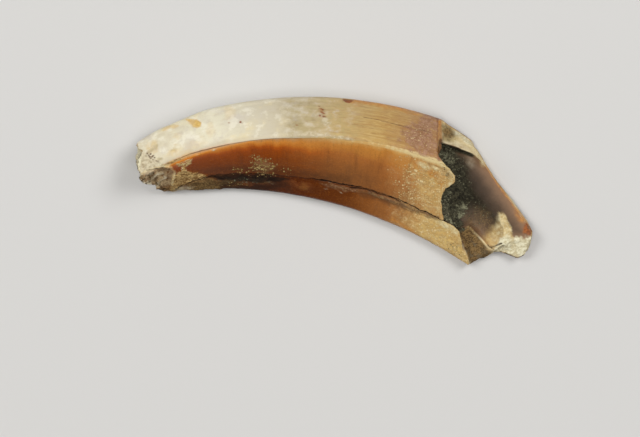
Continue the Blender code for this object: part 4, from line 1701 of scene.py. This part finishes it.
class Sketch:
    """Short ways to add and join the nodes of one material."""

    MIDDLE = 0.5
    DOT_GROWTH = 0.85
    DOT_SPREAD = 0.7
    DOT_EDGE = (-0.02, 0.12)
    COLOUR_INPUTS = (0, 6, 7)
    COLOUR_OUTPUT = 2
    NUMBER_INPUTS = (0, 2, 3)

    def __init__(self, material: bpy.types.Material) -> None:
        """Starts on an empty node tree.

        Args:
            material: the material to draw.
        """
        material.use_nodes = True
        self.tree = material.node_tree
        self.tree.nodes.clear()
        self.noises: dict[Noise, Socket] = {}

    def node(self, kind: str, **settings: object) -> bpy.types.Node:
        """Adds a node.

        Args:
            kind: its kind.
            settings: its own settings.

        Returns:
            The node.
        """
        made = self.tree.nodes.new(kind)
        for name, value in settings.items():
            setattr(made, name, value)
        return made

    def joined(self, kind: str, values: dict, output: int = 0, **settings: object) -> Socket:
        """Adds a node and feeds its inputs.

        Args:
            kind: the node's kind.
            values: a socket or an own value for each input, by its name or its number.
            output: which output to give.
            settings: the node's own settings.

        Returns:
            The output's socket.
        """
        made = self.node(kind, **settings)
        for name, value in values.items():
            self.feed(made.inputs[name], value)
        return made.outputs[output]

    def feed(self, socket: Socket, value: object) -> None:
        """Joins a socket to another, or sets its own value.

        Args:
            socket: the input.
            value: another socket, or a value. A colour has three numbers.
        """
        if isinstance(value, bpy.types.NodeSocket):
            self.tree.links.new(value, socket)
        elif isinstance(value, tuple) and len(value) == 3 and socket.type == "RGBA":
            socket.default_value = (*value, 1.0)
        else:
            socket.default_value = value

    def number(self, name: str) -> Socket:
        """One of the mesh's numbers."""
        return self.node("ShaderNodeAttribute", attribute_name=name).outputs["Fac"]

    def places(self) -> Socket:
        """Each point's place, in mm."""
        return self.scaled(self.node("ShaderNodeTexCoord").outputs["Object"], (1.0 / MM,) * 3)

    def along_grain(self, squeeze: Triple) -> Socket:
        """Each point's place along the tusk's grain, squeezed along each of its ways."""
        grain = self.node("ShaderNodeAttribute", attribute_name="grain").outputs["Vector"]
        return self.scaled(grain, squeeze)

    def scaled(self, vector: Socket, by: Triple) -> Socket:
        """A vector times three numbers."""
        return self.joined("ShaderNodeVectorMath", {0: vector, 1: by}, operation="MULTIPLY")

    def noise(self, kind: Noise) -> Socket:
        """Adds noise from 0 to 1. Each kind has its nodes once.

        Args:
            kind: which kind.

        Returns:
            The noise.
        """
        if kind not in self.noises:
            places = self.along_grain(kind.squeeze) if kind.squeeze else self.places()
            values = {
                "Vector": places,
                "Scale": 1.0 / kind.size,
                "Detail": kind.detail,
                "Roughness": kind.rough,
            }
            self.noises[kind] = self.joined("ShaderNodeTexNoise", values)
        return self.noises[kind]

    def dots(self, size: float, amount: Socket) -> Socket:
        """Adds round grains, wider and more of them for a greater amount.

        Args:
            size: how far apart they lie, in mm.
            amount: how much there is of them, from 0 to 1.

        Returns:
            1 on a grain and 0 between grains.
        """
        cells = self.node("ShaderNodeTexVoronoi")
        self.feed(cells.inputs["Vector"], self.places())
        self.feed(cells.inputs["Scale"], 1.0 / size)
        draw = self.joined("ShaderNodeSeparateColor", {0: cells.outputs["Color"]})
        reach = self.added(self.times(amount, self.DOT_GROWTH), draw, self.DOT_SPREAD)
        return self.rise(self.maths("SUBTRACT", reach, cells.outputs["Distance"]), *self.DOT_EDGE)

    def maths(self, operation: str, first: Value, second: Value) -> Socket:
        """Sum, product or the like of two numbers."""
        return self.joined("ShaderNodeMath", {0: first, 1: second}, operation=operation)

    def times(self, first: Value, second: Value) -> Socket:
        """The product of two numbers."""
        return self.maths("MULTIPLY", first, second)

    def added(self, value: Socket, noise: Socket, by: float) -> Socket:
        """A number moved up and down by noise about its middle, at most by half of a number."""
        moved = self.times(self.maths("SUBTRACT", noise, self.MIDDLE), by)
        return self.maths("ADD", value, moved)

    def window(self, value: Socket, start: float, full: float, still: float, end: float) -> Socket:
        """1 from full to still, and down to 0 at start and at end."""
        return self.times(self.rise(value, start, full), self.rise(value, end, still))

    def rise(self, value: Socket, low: float, high: float, to: float = 1.0) -> Socket:
        """Adds an eased rise.

        Args:
            value: the number that it follows.
            low: where it is 0.
            high: where it reaches its end. It may be less than low.
            to: what it is there.

        Returns:
            The risen number.
        """
        ends = (low, high, 0.0, to) if low < high else (high, low, to, 0.0)
        values = dict(zip(("Value", "From Min", "From Max", "To Min", "To Max"), (value, *ends)))
        return self.joined("ShaderNodeMapRange", values, interpolation_type="SMOOTHSTEP")

    def table(self, value: Socket, table: Table) -> Socket:
        """Looks a number up in a table.

        Args:
            value: the number.
            table: the table, straight between its pairs.

        Returns:
            The table's value.
        """
        total: Value = table.pairs[0][1]
        for (start, low), (end, high) in zip(table.pairs, table.pairs[1:]):
            leg = {"Value": value, "From Min": start, "From Max": end, "To Max": high - low}
            total = self.maths("ADD", total, self.joined("ShaderNodeMapRange", leg))
        return total

    def mix(self, share: Value, first: object, second: object) -> Socket:
        """A colour between two."""
        values = dict(zip(self.COLOUR_INPUTS, (share, first, second)))
        return self.joined("ShaderNodeMix", values, self.COLOUR_OUTPUT, data_type="RGBA")

    def blend(self, share: Value, first: Value, second: Value) -> Socket:
        """A number between two."""
        values = dict(zip(self.NUMBER_INPUTS, (share, first, second)))
        return self.joined("ShaderNodeMix", values, data_type="FLOAT")

    def tinted(self, under: Socket, where: Socket | None, *tints: tuple[Socket, Tint]) -> Socket:
        """A colour with tints over it.

        Args:
            under: the colour.
            where: how strong all the tints are, from 0 to 1; None for full strength everywhere.
            tints: each tint, after the noise that it follows.

        Returns:
            The tinted colour.
        """
        for noise, tint in tints:
            share = self.rise(noise, tint.none, tint.full, tint.most)
            if where is not None:
                share = self.times(share, where)
            under = self.mix(share, under, tint.colour)
        return under

    def colours(self, value: Socket, stops: Stops, low: float, high: float) -> Socket:
        """A colour that changes with a number.

        Args:
            value: the number.
            stops: (number, colour) pairs in rising order.
            low: the lowest number that matters.
            high: the highest one.

        Returns:
            The colour's socket.
        """
        ends = {"Value": value, "From Min": low, "From Max": high}
        share = self.joined("ShaderNodeMapRange", ends)
        made = self.node("ShaderNodeValToRGB")
        elements = made.color_ramp.elements
        while len(elements) < len(stops):
            elements.new(self.MIDDLE)
        for element, (number, colour) in zip(elements, stops):
            element.position = (number - low) / (high - low)
            element.color = (*colour, 1.0)
        self.feed(made.inputs[0], share)
        return made.outputs[0]


@dataclass(frozen=True)
class Layer:
    """A finish as the sockets of its colour, its roughness and its height in mm."""

    colour: Socket
    roughness: Socket
    height: Socket


# In the finishes, a name that ends in arc holds degrees along the arc, and one in mm holds mm.
ARC_ENDS = (-28.0, 42.0)


@dataclass(frozen=True)
class Enamel:
    """Ivory near the tip and tan to pink-brown near the root, with long striations."""

    stops: Stops = (
        (-27.0, (0.69, 0.61, 0.43)),
        (-14.0, (0.76, 0.71, 0.535)),
        (-7.0, (0.63, 0.565, 0.42)),
        (-1.0, (0.54, 0.46, 0.30)),
        (4.0, (0.50, 0.365, 0.165)),
        (11.0, (0.490, 0.310, 0.105)),
        (17.5, (0.400, 0.215, 0.080)),
        (22.0, (0.33, 0.17, 0.08)),
        (34.0, (0.36, 0.20, 0.10)),
    )
    wander_arc: float = 9.0
    lines: Noise = Noise(0.22, 5.0, 0.7, (0.04, 1.0, 1.0))
    fibres: Noise = Noise(0.26, 4.0, 0.7, (0.20, 1.0, 1.0))
    flecks: Noise = Noise(0.42, 4.0, 0.7, (0.5, 1.0, 1.0))
    blots: Noise = Noise(0.95, 5.0, 0.6, (0.8, 0.7, 0.7))
    clouds: Noise = Noise(3.2, 6.0, 0.6)
    pale_arc: Pair = (3.0, -9.0)
    butter: Tint = Tint((0.80, 0.67, 0.38), 0.51, 0.68, 0.55)
    lilac: Tint = Tint((0.62, 0.56, 0.48), 0.49, 0.32, 0.60)
    bleached: Tint = Tint((0.86, 0.81, 0.66), 0.50, 0.66, 0.60)
    worn: Tint = Tint((0.60, 0.52, 0.38), 0.49, 0.34, 0.42)
    middle_arc: Window = (-5.5, -1.5, 3.0, 10.0)
    mossy: Tint = Tint((0.43, 0.34, 0.16), 0.53, 0.36, 0.70)
    chalky: Tint = Tint((0.63, 0.57, 0.45), 0.48, 0.70, 0.70)
    by_seam: Colour = (0.54, 0.45, 0.31)
    by_seam_mm: Window = (-1.3, 0.0, 0.0, 0.7)
    by_seam_most: float = 0.75
    brown_arc: Pair = (-8.0, 12.0)
    streak: Colour = (0.33, 0.16, 0.055)
    dry: Colour = (0.66, 0.47, 0.20)
    dark_lines: Tint = Tint(streak, 0.52, 0.68, 0.55)
    dry_lines: Tint = Tint(dry, 0.48, 0.34, 0.50)
    dark_flecks: Tint = Tint(streak, 0.52, 0.70, 0.36)
    dry_flecks: Tint = Tint(dry, 0.48, 0.30, 0.40)
    dark_fibres: Tint = Tint(streak, 0.50, 0.76, 0.45)
    fibres_at_tip: float = 0.25
    relief_mm: float = 0.010
    roughness: Pair = (0.24, 0.44)

    def lay(self, sketch: Sketch) -> Layer:
        """Adds the enamel's nodes.

        Args:
            sketch: the material's nodes.

        Returns:
            The finish.
        """
        arc = sketch.number("arc")
        lines = sketch.noise(self.lines)
        fibres = sketch.noise(self.fibres)
        flecks = sketch.noise(self.flecks)
        blots = sketch.noise(self.blots)
        clouds = sketch.noise(self.clouds)
        wander = sketch.added(arc, blots, self.wander_arc)
        colour = sketch.colours(wander, self.stops, *ARC_ENDS)
        pale = sketch.rise(arc, *self.pale_arc)
        colour = sketch.tinted(colour, pale, (clouds, self.butter), (clouds, self.lilac))
        colour = sketch.tinted(colour, pale, (blots, self.bleached), (blots, self.worn))
        middle = sketch.window(arc, *self.middle_arc)
        colour = sketch.tinted(colour, middle, (blots, self.mossy), (blots, self.chalky))
        edge = sketch.window(sketch.number("from_seam"), *self.by_seam_mm)
        edge = sketch.times(sketch.times(edge, self.by_seam_most), pale)
        colour = sketch.mix(edge, colour, self.by_seam)
        brown = sketch.rise(arc, *self.brown_arc)
        colour = sketch.tinted(colour, brown, (lines, self.dark_lines), (lines, self.dry_lines))
        colour = sketch.tinted(colour, brown, (flecks, self.dark_flecks), (flecks, self.dry_flecks))
        fibrous = sketch.times(brown, 1.0 - self.fibres_at_tip)
        fibrous = sketch.maths("ADD", fibrous, self.fibres_at_tip)
        colour = sketch.tinted(colour, fibrous, (fibres, self.dark_fibres))
        height = sketch.times(sketch.maths("ADD", lines, fibres), self.relief_mm)
        return Layer(colour, sketch.blend(clouds, *self.roughness), height)


@dataclass(frozen=True)
class Dentine:
    """Amber: bright orange below the ridge, partly painted sheen, brown further down and tan
    towards the root.
    """

    # The brightest stops just below the ridge, in both ramps, hold painted sheen as well as the
    # amber's own colour.
    depths: Stops = (
        (0.0, (0.57, 0.34, 0.17)),
        (0.55, (0.60, 0.28, 0.09)),
        (1.2, (0.74, 0.28, 0.045)),
        (1.8, (0.61, 0.18, 0.018)),
        (2.3, (0.45, 0.090, 0.005)),
        (2.9, (0.31, 0.058, 0.003)),
        (4.2, (0.220, 0.044, 0.003)),
        (6.5, (0.155, 0.036, 0.004)),
    )
    honey_depths: Stops = (
        (0.0, (0.70, 0.41, 0.13)),
        (0.8, (0.58, 0.24, 0.045)),
        (2.0, (0.43, 0.15, 0.033)),
        (3.8, (0.27, 0.10, 0.027)),
        (6.5, (0.19, 0.074, 0.024)),
    )
    below_crack: Stops = (
        (-24.0, (0.20, 0.11, 0.04)),
        (-17.0, (0.10, 0.040, 0.013)),
        (-9.0, (0.055, 0.013, 0.004)),
        (-2.0, (0.095, 0.018, 0.002)),
        (7.0, (0.135, 0.034, 0.005)),
        (11.5, (0.24, 0.080, 0.018)),
        (16.0, (0.34, 0.135, 0.038)),
        (21.0, (0.55, 0.34, 0.125)),
        (27.0, (0.61, 0.43, 0.18)),
    )
    spread: Table = Table(
        ((-20.0, 1.25), (-13.0, 1.05), (-4.0, 0.96), (7.0, 0.68), (14.0, 0.45), (22.0, 0.30))
    )
    threads: Noise = Noise(0.30, 5.0, 0.7, (1.0, 0.10, 0.10))
    bands: Noise = Noise(1.7, 4.0, 0.6, (1.0, 0.16, 0.16))
    clouds: Noise = Noise(1.9, 6.0, 0.62)
    fine: Noise = Noise(0.18, 4.0, 0.75)
    small_grains: Noise = Noise(0.26, 4.0, 0.7)
    large_grains: Noise = Noise(1.1, 4.0, 0.6)
    large_share: float = 0.40
    wander_mm: float = 1.3
    wander_arc: float = 8.0
    honey_arc: Pair = (-7.5, 8.0)
    root: Colour = (0.53, 0.31, 0.115)
    root_arc: Pair = (13.0, 24.0)
    root_wander_arc: float = 12.0
    root_dry: Tint = Tint((0.76, 0.60, 0.31), 0.50, 0.60, 0.78)
    root_rusty: Tint = Tint((0.41, 0.195, 0.060), 0.49, 0.39, 0.72)
    shade: Colour = (0.07, 0.022, 0.008)
    dark_threads: Tint = Tint(shade, 0.50, 0.80, 0.40)
    dark_bands: Tint = Tint(shade, 0.52, 0.75, 0.25)
    dark_fine: Tint = Tint(shade, 0.50, 0.76, 0.34)
    glow: Tint = Tint((0.80, 0.28, 0.04), 0.50, 0.26, 0.24)
    relief_mm: float = 0.008
    roughness: Pair = (0.18, 0.34)

    def lay(self, sketch: Sketch) -> Layer:
        """Adds the dentine's nodes.

        Args:
            sketch: the material's nodes.

        Returns:
            The finish.
        """
        arc = sketch.number("arc")
        threads = sketch.noise(self.threads)
        bands = sketch.noise(self.bands)
        clouds = sketch.noise(self.clouds)
        fine = sketch.noise(self.fine)
        deep = sketch.times(sketch.number("from_seam"), sketch.table(arc, self.spread))
        deep = sketch.added(sketch.added(deep, clouds, self.wander_mm), bands, self.wander_mm)
        wander = sketch.added(arc, clouds, self.wander_arc)
        colour = sketch.colours(deep, self.depths, 0.0, self.depths[-1][0])
        honey = sketch.colours(deep, self.honey_depths, 0.0, self.honey_depths[-1][0])
        colour = sketch.mix(sketch.rise(wander, *self.honey_arc), colour, honey)
        root_wander = sketch.added(arc, clouds, self.root_wander_arc)
        rootward = sketch.rise(root_wander, *self.root_arc)
        colour = sketch.mix(rootward, colour, self.root)
        lower = sketch.colours(wander, self.below_crack, *ARC_ENDS)
        colour = sketch.mix(sketch.number("below_crack"), colour, lower)
        small_grains = sketch.noise(self.small_grains)
        grains = sketch.blend(self.large_share, small_grains, sketch.noise(self.large_grains))
        colour = sketch.tinted(colour, rootward, (grains, self.root_dry), (grains, self.root_rusty))
        colour = sketch.tinted(colour, None, (threads, self.dark_threads), (bands, self.dark_bands))
        colour = sketch.tinted(colour, None, (fine, self.dark_fine), (fine, self.glow))
        height = sketch.times(sketch.maths("ADD", threads, fine), self.relief_mm)
        return Layer(colour, sketch.blend(clouds, *self.roughness), height)


@dataclass(frozen=True)
class Seam:
    """The enamel's lower edge: a thin dark line near the tip, painted shadow below the enamel's
    step, and a worn cream strip near the root.
    """

    ragged: Noise = Noise(0.55, 4.0, 0.6)
    tone: Noise = Noise(0.9, 4.0, 0.6)
    ragged_mm: float = 0.16
    # The thin dark line's colour: painted shadow that the enamel's step casts on the dentine below
    # it.
    line: Colour = (0.13, 0.06, 0.025)
    shadow_line_mm: Pair = (0.10, 0.03)
    shadow_line_most: float = 0.85
    shadow_line_arc: Pair = (5.0, -3.0)
    fringe: Colour = (0.62, 0.40, 0.24)
    fringe_mm: Window = (-0.30, -0.12, 0.0, 0.04)
    fringe_arc: Pair = (-8.0, -13.0)
    fringe_most: float = 0.6
    worn: Colour = (0.68, 0.41, 0.14)
    worn_dry: Colour = (0.78, 0.61, 0.30)
    worn_mm: Window = (-1.00, -0.40, 0.60, 1.30)
    worn_arc: Pair = (-4.0, 3.0)
    worn_tone_mm: float = 0.9
    worn_ragged_mm: float = 0.5
    narrower_arc: Pair = (20.0, -2.0)
    narrower_by: float = 2.2
    dry_arc: Pair = (-2.0, 24.0)
    dry_ragged: float = 1.6
    dry_from: Pair = (0.20, 0.90)

    def over(self, sketch: Sketch, under: Layer) -> Layer:
        """Lays the seam over the enamel and the dentine.

        Args:
            sketch: the material's nodes.
            under: the two tissues.

        Returns:
            The tissues with the seam between them.
        """
        arc = sketch.number("arc")
        away = sketch.number("from_seam")
        ragged = sketch.noise(self.ragged)
        near = sketch.added(away, ragged, self.ragged_mm)
        # The dark line is painted shadow below the enamel's step.
        dark = sketch.rise(sketch.maths("ABSOLUTE", near, 0.0), *self.shadow_line_mm, self.shadow_line_most)
        dark = sketch.times(dark, sketch.rise(arc, *self.shadow_line_arc))
        tipward = sketch.rise(arc, *self.fringe_arc, self.fringe_most)
        pink = sketch.times(sketch.window(near, *self.fringe_mm), tipward)
        strip = sketch.added(away, sketch.noise(self.tone), self.worn_tone_mm)
        strip = sketch.added(strip, ragged, self.worn_ragged_mm)
        narrower = sketch.maths("ADD", sketch.rise(arc, *self.narrower_arc, self.narrower_by), 1.0)
        strip = sketch.window(sketch.times(strip, narrower), *self.worn_mm)
        worn = sketch.times(strip, sketch.rise(arc, *self.worn_arc))
        colour = sketch.mix(pink, under.colour, self.fringe)
        colour = sketch.mix(dark, colour, self.line)
        dryness = sketch.added(sketch.rise(arc, *self.dry_arc), ragged, self.dry_ragged)
        strip_colour = sketch.mix(sketch.rise(dryness, *self.dry_from), self.worn, self.worn_dry)
        return Layer(sketch.mix(worn, colour, strip_colour), under.roughness, under.height)


@dataclass(frozen=True)
class Break:
    """A broken face: enamel outside, then dentine, crumbly and dry."""

    rind: Colour = (0.55, 0.36, 0.16)
    body: Colour = (0.60, 0.50, 0.31)
    rind_through: Pair = (0.08, 0.22)
    lumps: Noise = Noise(0.9, 5.0, 0.62)
    fine: Noise = Noise(0.16, 4.0, 0.65)
    bright: Tint = Tint((0.76, 0.66, 0.43), 0.52, 0.36, 0.60)
    stain: Colour = (0.40, 0.26, 0.12)
    stained_lumps: Tint = Tint(stain, 0.52, 0.70, 0.60)
    stained_fine: Tint = Tint(stain, 0.54, 0.74, 0.45)
    relief_mm: float = 0.03
    roughness: Pair = (0.6, 0.85)

    def lay(self, sketch: Sketch) -> Layer:
        """Adds the broken face's nodes.

        Args:
            sketch: the material's nodes.

        Returns:
            The finish.
        """
        lumps = sketch.noise(self.lumps)
        fine = sketch.noise(self.fine)
        inside = sketch.rise(sketch.number("through"), *self.rind_through)
        colour = sketch.mix(inside, self.rind, self.body)
        colour = sketch.tinted(colour, None, (lumps, self.bright), (lumps, self.stained_lumps))
        colour = sketch.tinted(colour, None, (fine, self.stained_fine))
        height = sketch.times(sketch.maths("ADD", fine, lumps), self.relief_mm)
        return Layer(colour, sketch.blend(fine, *self.roughness), height)


@dataclass(frozen=True)
class Lining:
    """The cavity's inside: mauve-brown and smooth near the rim, black and gritty further in; the
    brightening near the rim is painted sheen, the blackening further in dirt and painted shade.
    """

    # Colour by distance from the rim: painted sheen near the rim, dirt and painted shade further
    # in.
    stops: Stops = (
        (0.0, (0.27, 0.148, 0.078)),
        (0.5, (0.22, 0.128, 0.072)),
        (1.1, (0.140, 0.085, 0.050)),
        (1.7, (0.080, 0.049, 0.028)),
        (2.3, (0.050, 0.031, 0.017)),
        (2.9, (0.032, 0.022, 0.012)),
        (3.6, (0.022, 0.018, 0.010)),
        (4.8, (0.014, 0.012, 0.007)),
    )
    clouds: Noise = Noise(1.8, 4.0, 0.6)
    clouds_mm: float = 1.2
    grit: Noise = Noise(0.30, 5.0, 0.75)
    grit_mm: float = 0.6
    dirty_mm: Pair = (2.1, 3.6)
    speck: Tint = Tint((0.13, 0.12, 0.07), 0.54, 0.68)
    dark: Tint = Tint((0.008, 0.007, 0.005), 0.47, 0.36, 0.85)
    relief_mm: float = 0.004
    dirt_relief_mm: float = 0.10
    roughness: Pair = (0.32, 0.75)

    def lay(self, sketch: Sketch) -> Layer:
        """Adds the cavity's nodes.

        Args:
            sketch: the material's nodes.

        Returns:
            The finish.
        """
        grit = sketch.noise(self.grit)
        inward = sketch.added(sketch.number("from_rim"), sketch.noise(self.clouds), self.clouds_mm)
        inward = sketch.added(inward, grit, self.grit_mm)
        colour = sketch.colours(inward, self.stops, 0.0, self.stops[-1][0])
        dirt_and_shade = sketch.rise(inward, *self.dirty_mm)
        colour = sketch.tinted(colour, dirt_and_shade, (grit, self.speck), (grit, self.dark))
        relief = sketch.maths("ADD", sketch.times(dirt_and_shade, self.dirt_relief_mm), self.relief_mm)
        return Layer(colour, sketch.blend(dirt_and_shade, *self.roughness), sketch.times(grit, relief))


@dataclass(frozen=True)
class Stained:
    """What a mark is made of, or its painted shade or highlight: two colours, which dye what is
    under them or lie on it in grains.

    Attributes:
        light: its lighter colour.
        dark: its darker colour.
        size: how large its grains are, in mm.
        gritty: how much of it lies in grains, from 0 to 1.
        roughness: how dull it is.
        height: how far its grains stand up, in mm.
        dotted: whether its grains are round.
    """

    light: Colour
    dark: Colour
    size: float
    gritty: float
    roughness: float
    height: float = 0.0
    dotted: bool = False

    TONE_SIZE = 3.1
    TONE_SHARE = 0.4
    LEAST_DYE = 0.72
    MORE_DYE = (0.30, 0.70, 0.50)
    GRIT_SPREAD = 1.6
    GRIT_EDGE = (0.42, 0.58)
    FIRST_TRACE = (0.01, 0.14)
    LIGHT_FROM = (0.43, 0.58)

    def over(self, sketch: Sketch, under: Layer, amount: Socket) -> Layer:
        """Lays the stain over what is under it.

        Args:
            sketch: the material's nodes.
            under: what the stain covers.
            amount: how much of it there is, from 0 to 1.

        Returns:
            The stained finish.
        """
        grit = sketch.noise(Noise(self.size, 5.0, 0.7))
        tone = sketch.noise(Noise(self.size * self.TONE_SIZE, 4.0, 0.6))
        dye = sketch.maths("ADD", sketch.rise(tone, *self.MORE_DYE), self.LEAST_DYE)
        dye = sketch.times(amount, dye)
        if self.dotted:
            grains = sketch.dots(self.size, amount)
        else:
            grains = sketch.rise(sketch.added(amount, grit, self.GRIT_SPREAD), *self.GRIT_EDGE)
        cover = sketch.blend(self.gritty, dye, grains)
        cover = sketch.times(cover, sketch.rise(amount, *self.FIRST_TRACE))
        mixed = sketch.blend(self.TONE_SHARE, grit, tone)
        colour = sketch.mix(sketch.rise(mixed, *self.LIGHT_FROM), self.dark, self.light)
        return Layer(
            sketch.mix(cover, under.colour, colour),
            sketch.blend(cover, under.roughness, self.roughness),
            sketch.maths("ADD", under.height, sketch.times(cover, self.height)),
        )


STAINS: dict[Stain, Stained] = {
    Stain.OCHRE: Stained((0.72, 0.50, 0.17), (0.60, 0.36, 0.10), 0.40, 0.05, 0.45),
    Stain.OLIVE: Stained((0.40, 0.31, 0.145), (0.23, 0.165, 0.075), 0.40, 0.10, 0.45),
    Stain.AMBER: Stained((0.58, 0.27, 0.06), (0.44, 0.17, 0.035), 0.40, 0.15, 0.40),
    Stain.MAUVE: Stained((0.40, 0.225, 0.14), (0.24, 0.115, 0.060), 0.22, 0.50, 0.45),
    Stain.UMBER: Stained((0.13, 0.055, 0.022), (0.055, 0.022, 0.010), 0.25, 0.25, 0.50),
    Stain.RUST: Stained((0.34, 0.11, 0.03), (0.17, 0.045, 0.012), 0.25, 0.25, 0.50),
    Stain.CRUST: Stained((0.80, 0.63, 0.33), (0.56, 0.36, 0.12), 0.24, 0.80, 0.75, 0.050, True),
    Stain.SILT: Stained((0.64, 0.43, 0.175), (0.23, 0.125, 0.038), 0.25, 0.55, 0.80, 0.050),
    Stain.EARTH: Stained((0.27, 0.165, 0.062), (0.070, 0.037, 0.012), 0.20, 0.30, 0.75, 0.040),
    Stain.GREY: Stained((0.50, 0.36, 0.195), (0.22, 0.125, 0.056), 0.50, 0.15, 0.62, 0.020),
    Stain.BONE: Stained((0.64, 0.56, 0.39), (0.42, 0.34, 0.215), 0.42, 0.15, 0.65, 0.030),
    Stain.CREAM: Stained((0.74, 0.62, 0.35), (0.60, 0.43, 0.18), 0.30, 0.10, 0.50, 0.010),
    Stain.CHALK: Stained((0.74, 0.69, 0.49), (0.50, 0.43, 0.26), 0.32, 0.20, 0.75, 0.040),
    Stain.SOOT: Stained((0.034, 0.014, 0.007), (0.009, 0.005, 0.003), 0.28, 0.15, 0.75, 0.010),
    Stain.DIRT: Stained((0.070, 0.062, 0.036), (0.012, 0.011, 0.007), 0.24, 0.20, 0.75, 0.040),
    Stain.GRIT: Stained((0.23, 0.22, 0.135), (0.07, 0.064, 0.038), 0.26, 0.70, 0.70, 0.080, True),
    Stain.LICHEN: Stained((0.50, 0.37, 0.145), (0.24, 0.14, 0.04), 0.28, 1.0, 0.80, 0.070, True),
}


class TuskFinish:
    """The tusk's one material: enamel, dentine, breaks and lining, with the stains, painted shade
    and painted highlights over them.
    """

    BUMP_STRENGTH = 1.0
    SEAM_HALF_WIDTH = 0.02
    CRACK = Stained((0.030, 0.014, 0.008), (0.008, 0.005, 0.004), 0.3, 0.1, 0.85)
    REFRACTION = 1.52
    GLOSS = 0.10
    HALF_WAY = (0.35, 0.65)

    def __init__(self) -> None:
        """Names the finishes of the tissues."""
        self.enamel = Enamel()
        self.dentine = Dentine()
        self.seam = Seam()
        self.broken = Break()
        self.lining = Lining()

    def material(self) -> bpy.types.Material:
        """Makes the tusk's material.

        Returns:
            The material.
        """
        made = bpy.data.materials.new("tusk_surface")
        sketch = Sketch(made)
        width = self.SEAM_HALF_WIDTH
        bare = sketch.times(
            sketch.rise(sketch.number("from_seam"), -width, width),
            sketch.rise(sketch.number("dentine"), *self.HALF_WAY),
        )
        layer = self._over(sketch, self.enamel.lay(sketch), self.dentine.lay(sketch), bare)
        layer = self.seam.over(sketch, layer)
        hollow = sketch.rise(sketch.number("hollow"), *self.HALF_WAY)
        layer = self._over(sketch, layer, self.lining.lay(sketch), hollow)
        broken = sketch.rise(sketch.number("broken"), *self.HALF_WAY)
        layer = self._over(sketch, layer, self.broken.lay(sketch), broken)
        for stain, finish in STAINS.items():
            layer = finish.over(sketch, layer, sketch.number(stain.value))
        layer = self.CRACK.over(sketch, layer, sketch.number("crack"))
        relief = {"Strength": self.BUMP_STRENGTH, "Distance": MM, "Height": layer.height}
        surface = {
            "Base Color": layer.colour,
            "Roughness": layer.roughness,
            "Normal": sketch.joined("ShaderNodeBump", relief),
            "IOR": self.REFRACTION,
            "Specular IOR Level": self.GLOSS,
        }
        shader = sketch.joined("ShaderNodeBsdfPrincipled", surface)
        sketch.feed(sketch.node("ShaderNodeOutputMaterial").inputs["Surface"], shader)
        return made

    @staticmethod
    def _over(sketch: Sketch, under: Layer, upper: Layer, share: Socket) -> Layer:
        """Lays one tissue over another.

        Args:
            sketch: the material's nodes.
            under: the lower one.
            upper: the upper one.
            share: how much the upper one hides, from 0 to 1.

        Returns:
            Both.
        """
        return Layer(
            sketch.mix(share, under.colour, upper.colour),
            sketch.blend(share, under.roughness, upper.roughness),
            sketch.blend(share, under.height, upper.height),
        )


@dataclass(frozen=True)
class Lamp:
    """A soft square lamp that faces the tusk. Place and size are in metres, power in watts."""

    name: str
    place: Triple
    size: float
    power: float

    def build(self) -> None:
        """Hangs the lamp."""
        light = bpy.data.lights.new(self.name, "AREA")
        light.size = self.size
        light.energy = self.power
        lamp = bpy.data.objects.new(self.name, light)
        lamp.location = self.place
        lamp.rotation_euler = (-Vector(self.place)).to_track_quat("-Z", "Y").to_euler()
        bpy.context.scene.collection.objects.link(lamp)


@dataclass(frozen=True)
class Studio:
    """A pale table, soft light and the photograph's camera. Sizes are in metres."""

    view: View
    table_size: float = 3.0
    table_colour: Colour = (0.60, 0.59, 0.57)
    table_roughness: float = 0.85
    nearest: float = 0.01
    sensor: float = 36.0
    lamps: tuple[Lamp, ...] = (
        Lamp("left_lamp", (-0.42, 0.14, 0.56), 0.34, 2.3),
        Lamp("right_lamp", (0.38, 0.26, 0.56), 0.34, 2.7),
        Lamp("top_lamp", (0.0, -0.16, 0.80), 0.50, 2.2),
    )
    sky: Colour = (1.0, 1.0, 1.0)
    sky_strength: float = 0.14

    def table(self) -> None:
        """Lays the plain pale table top."""
        half = self.table_size / 2.0
        mesh = bpy.data.meshes.new("table_top")
        corners = [(-half, -half, 0.0), (half, -half, 0.0), (half, half, 0.0), (-half, half, 0.0)]
        mesh.from_pydata(corners, [], [(0, 1, 2, 3)])
        material = bpy.data.materials.new("table_paint")
        material.use_nodes = True
        shader = material.node_tree.nodes["Principled BSDF"]
        shader.inputs["Base Color"].default_value = (*self.table_colour, 1.0)
        shader.inputs["Roughness"].default_value = self.table_roughness
        mesh.materials.append(material)
        table = bpy.data.objects.new("table_top", mesh)
        bpy.context.scene.collection.objects.link(table)

    def camera(self) -> None:
        """Hangs the camera straight above, at the photograph's scale."""
        lens = bpy.data.cameras.new("photo_camera")
        x, y, z = self.view.camera
        lens.sensor_width = self.sensor
        lens.lens = self.sensor * (z - self.view.scale_height) / self.view.width()
        lens.clip_start = self.nearest
        camera = bpy.data.objects.new("photo_camera", lens)
        camera.location = (x * MM, y * MM, z * MM)
        bpy.context.scene.collection.objects.link(camera)
        bpy.context.scene.camera = camera

    def build(self) -> None:
        """Sets the table, the light and the camera."""
        self.table()
        for lamp in self.lamps:
            lamp.build()
        world = bpy.data.worlds.new("studio")
        world.use_nodes = True
        background = world.node_tree.nodes["Background"]
        background.inputs["Color"].default_value = (*self.sky, 1.0)
        background.inputs["Strength"].default_value = self.sky_strength
        bpy.context.scene.world = world
        bpy.context.scene.view_settings.view_transform = "Standard"
        self.camera()
        log.info("studio: a table, %d lamps and the camera", len(self.lamps))


def main() -> None:
    """Builds the studio and the tusk, and hands the tusk to the frame."""
    logging.basicConfig(level=logging.INFO, format="%(name)s: %(message)s")
    view = View()
    Studio(view).build()
    tusk = Tusk(Form(), Breaks(), Relief(), view).build()
    tusk.data.materials.append(TuskFinish().material())
    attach(tusk, "root")
    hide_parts(NODE)


if __name__ == "__main__":
    main()
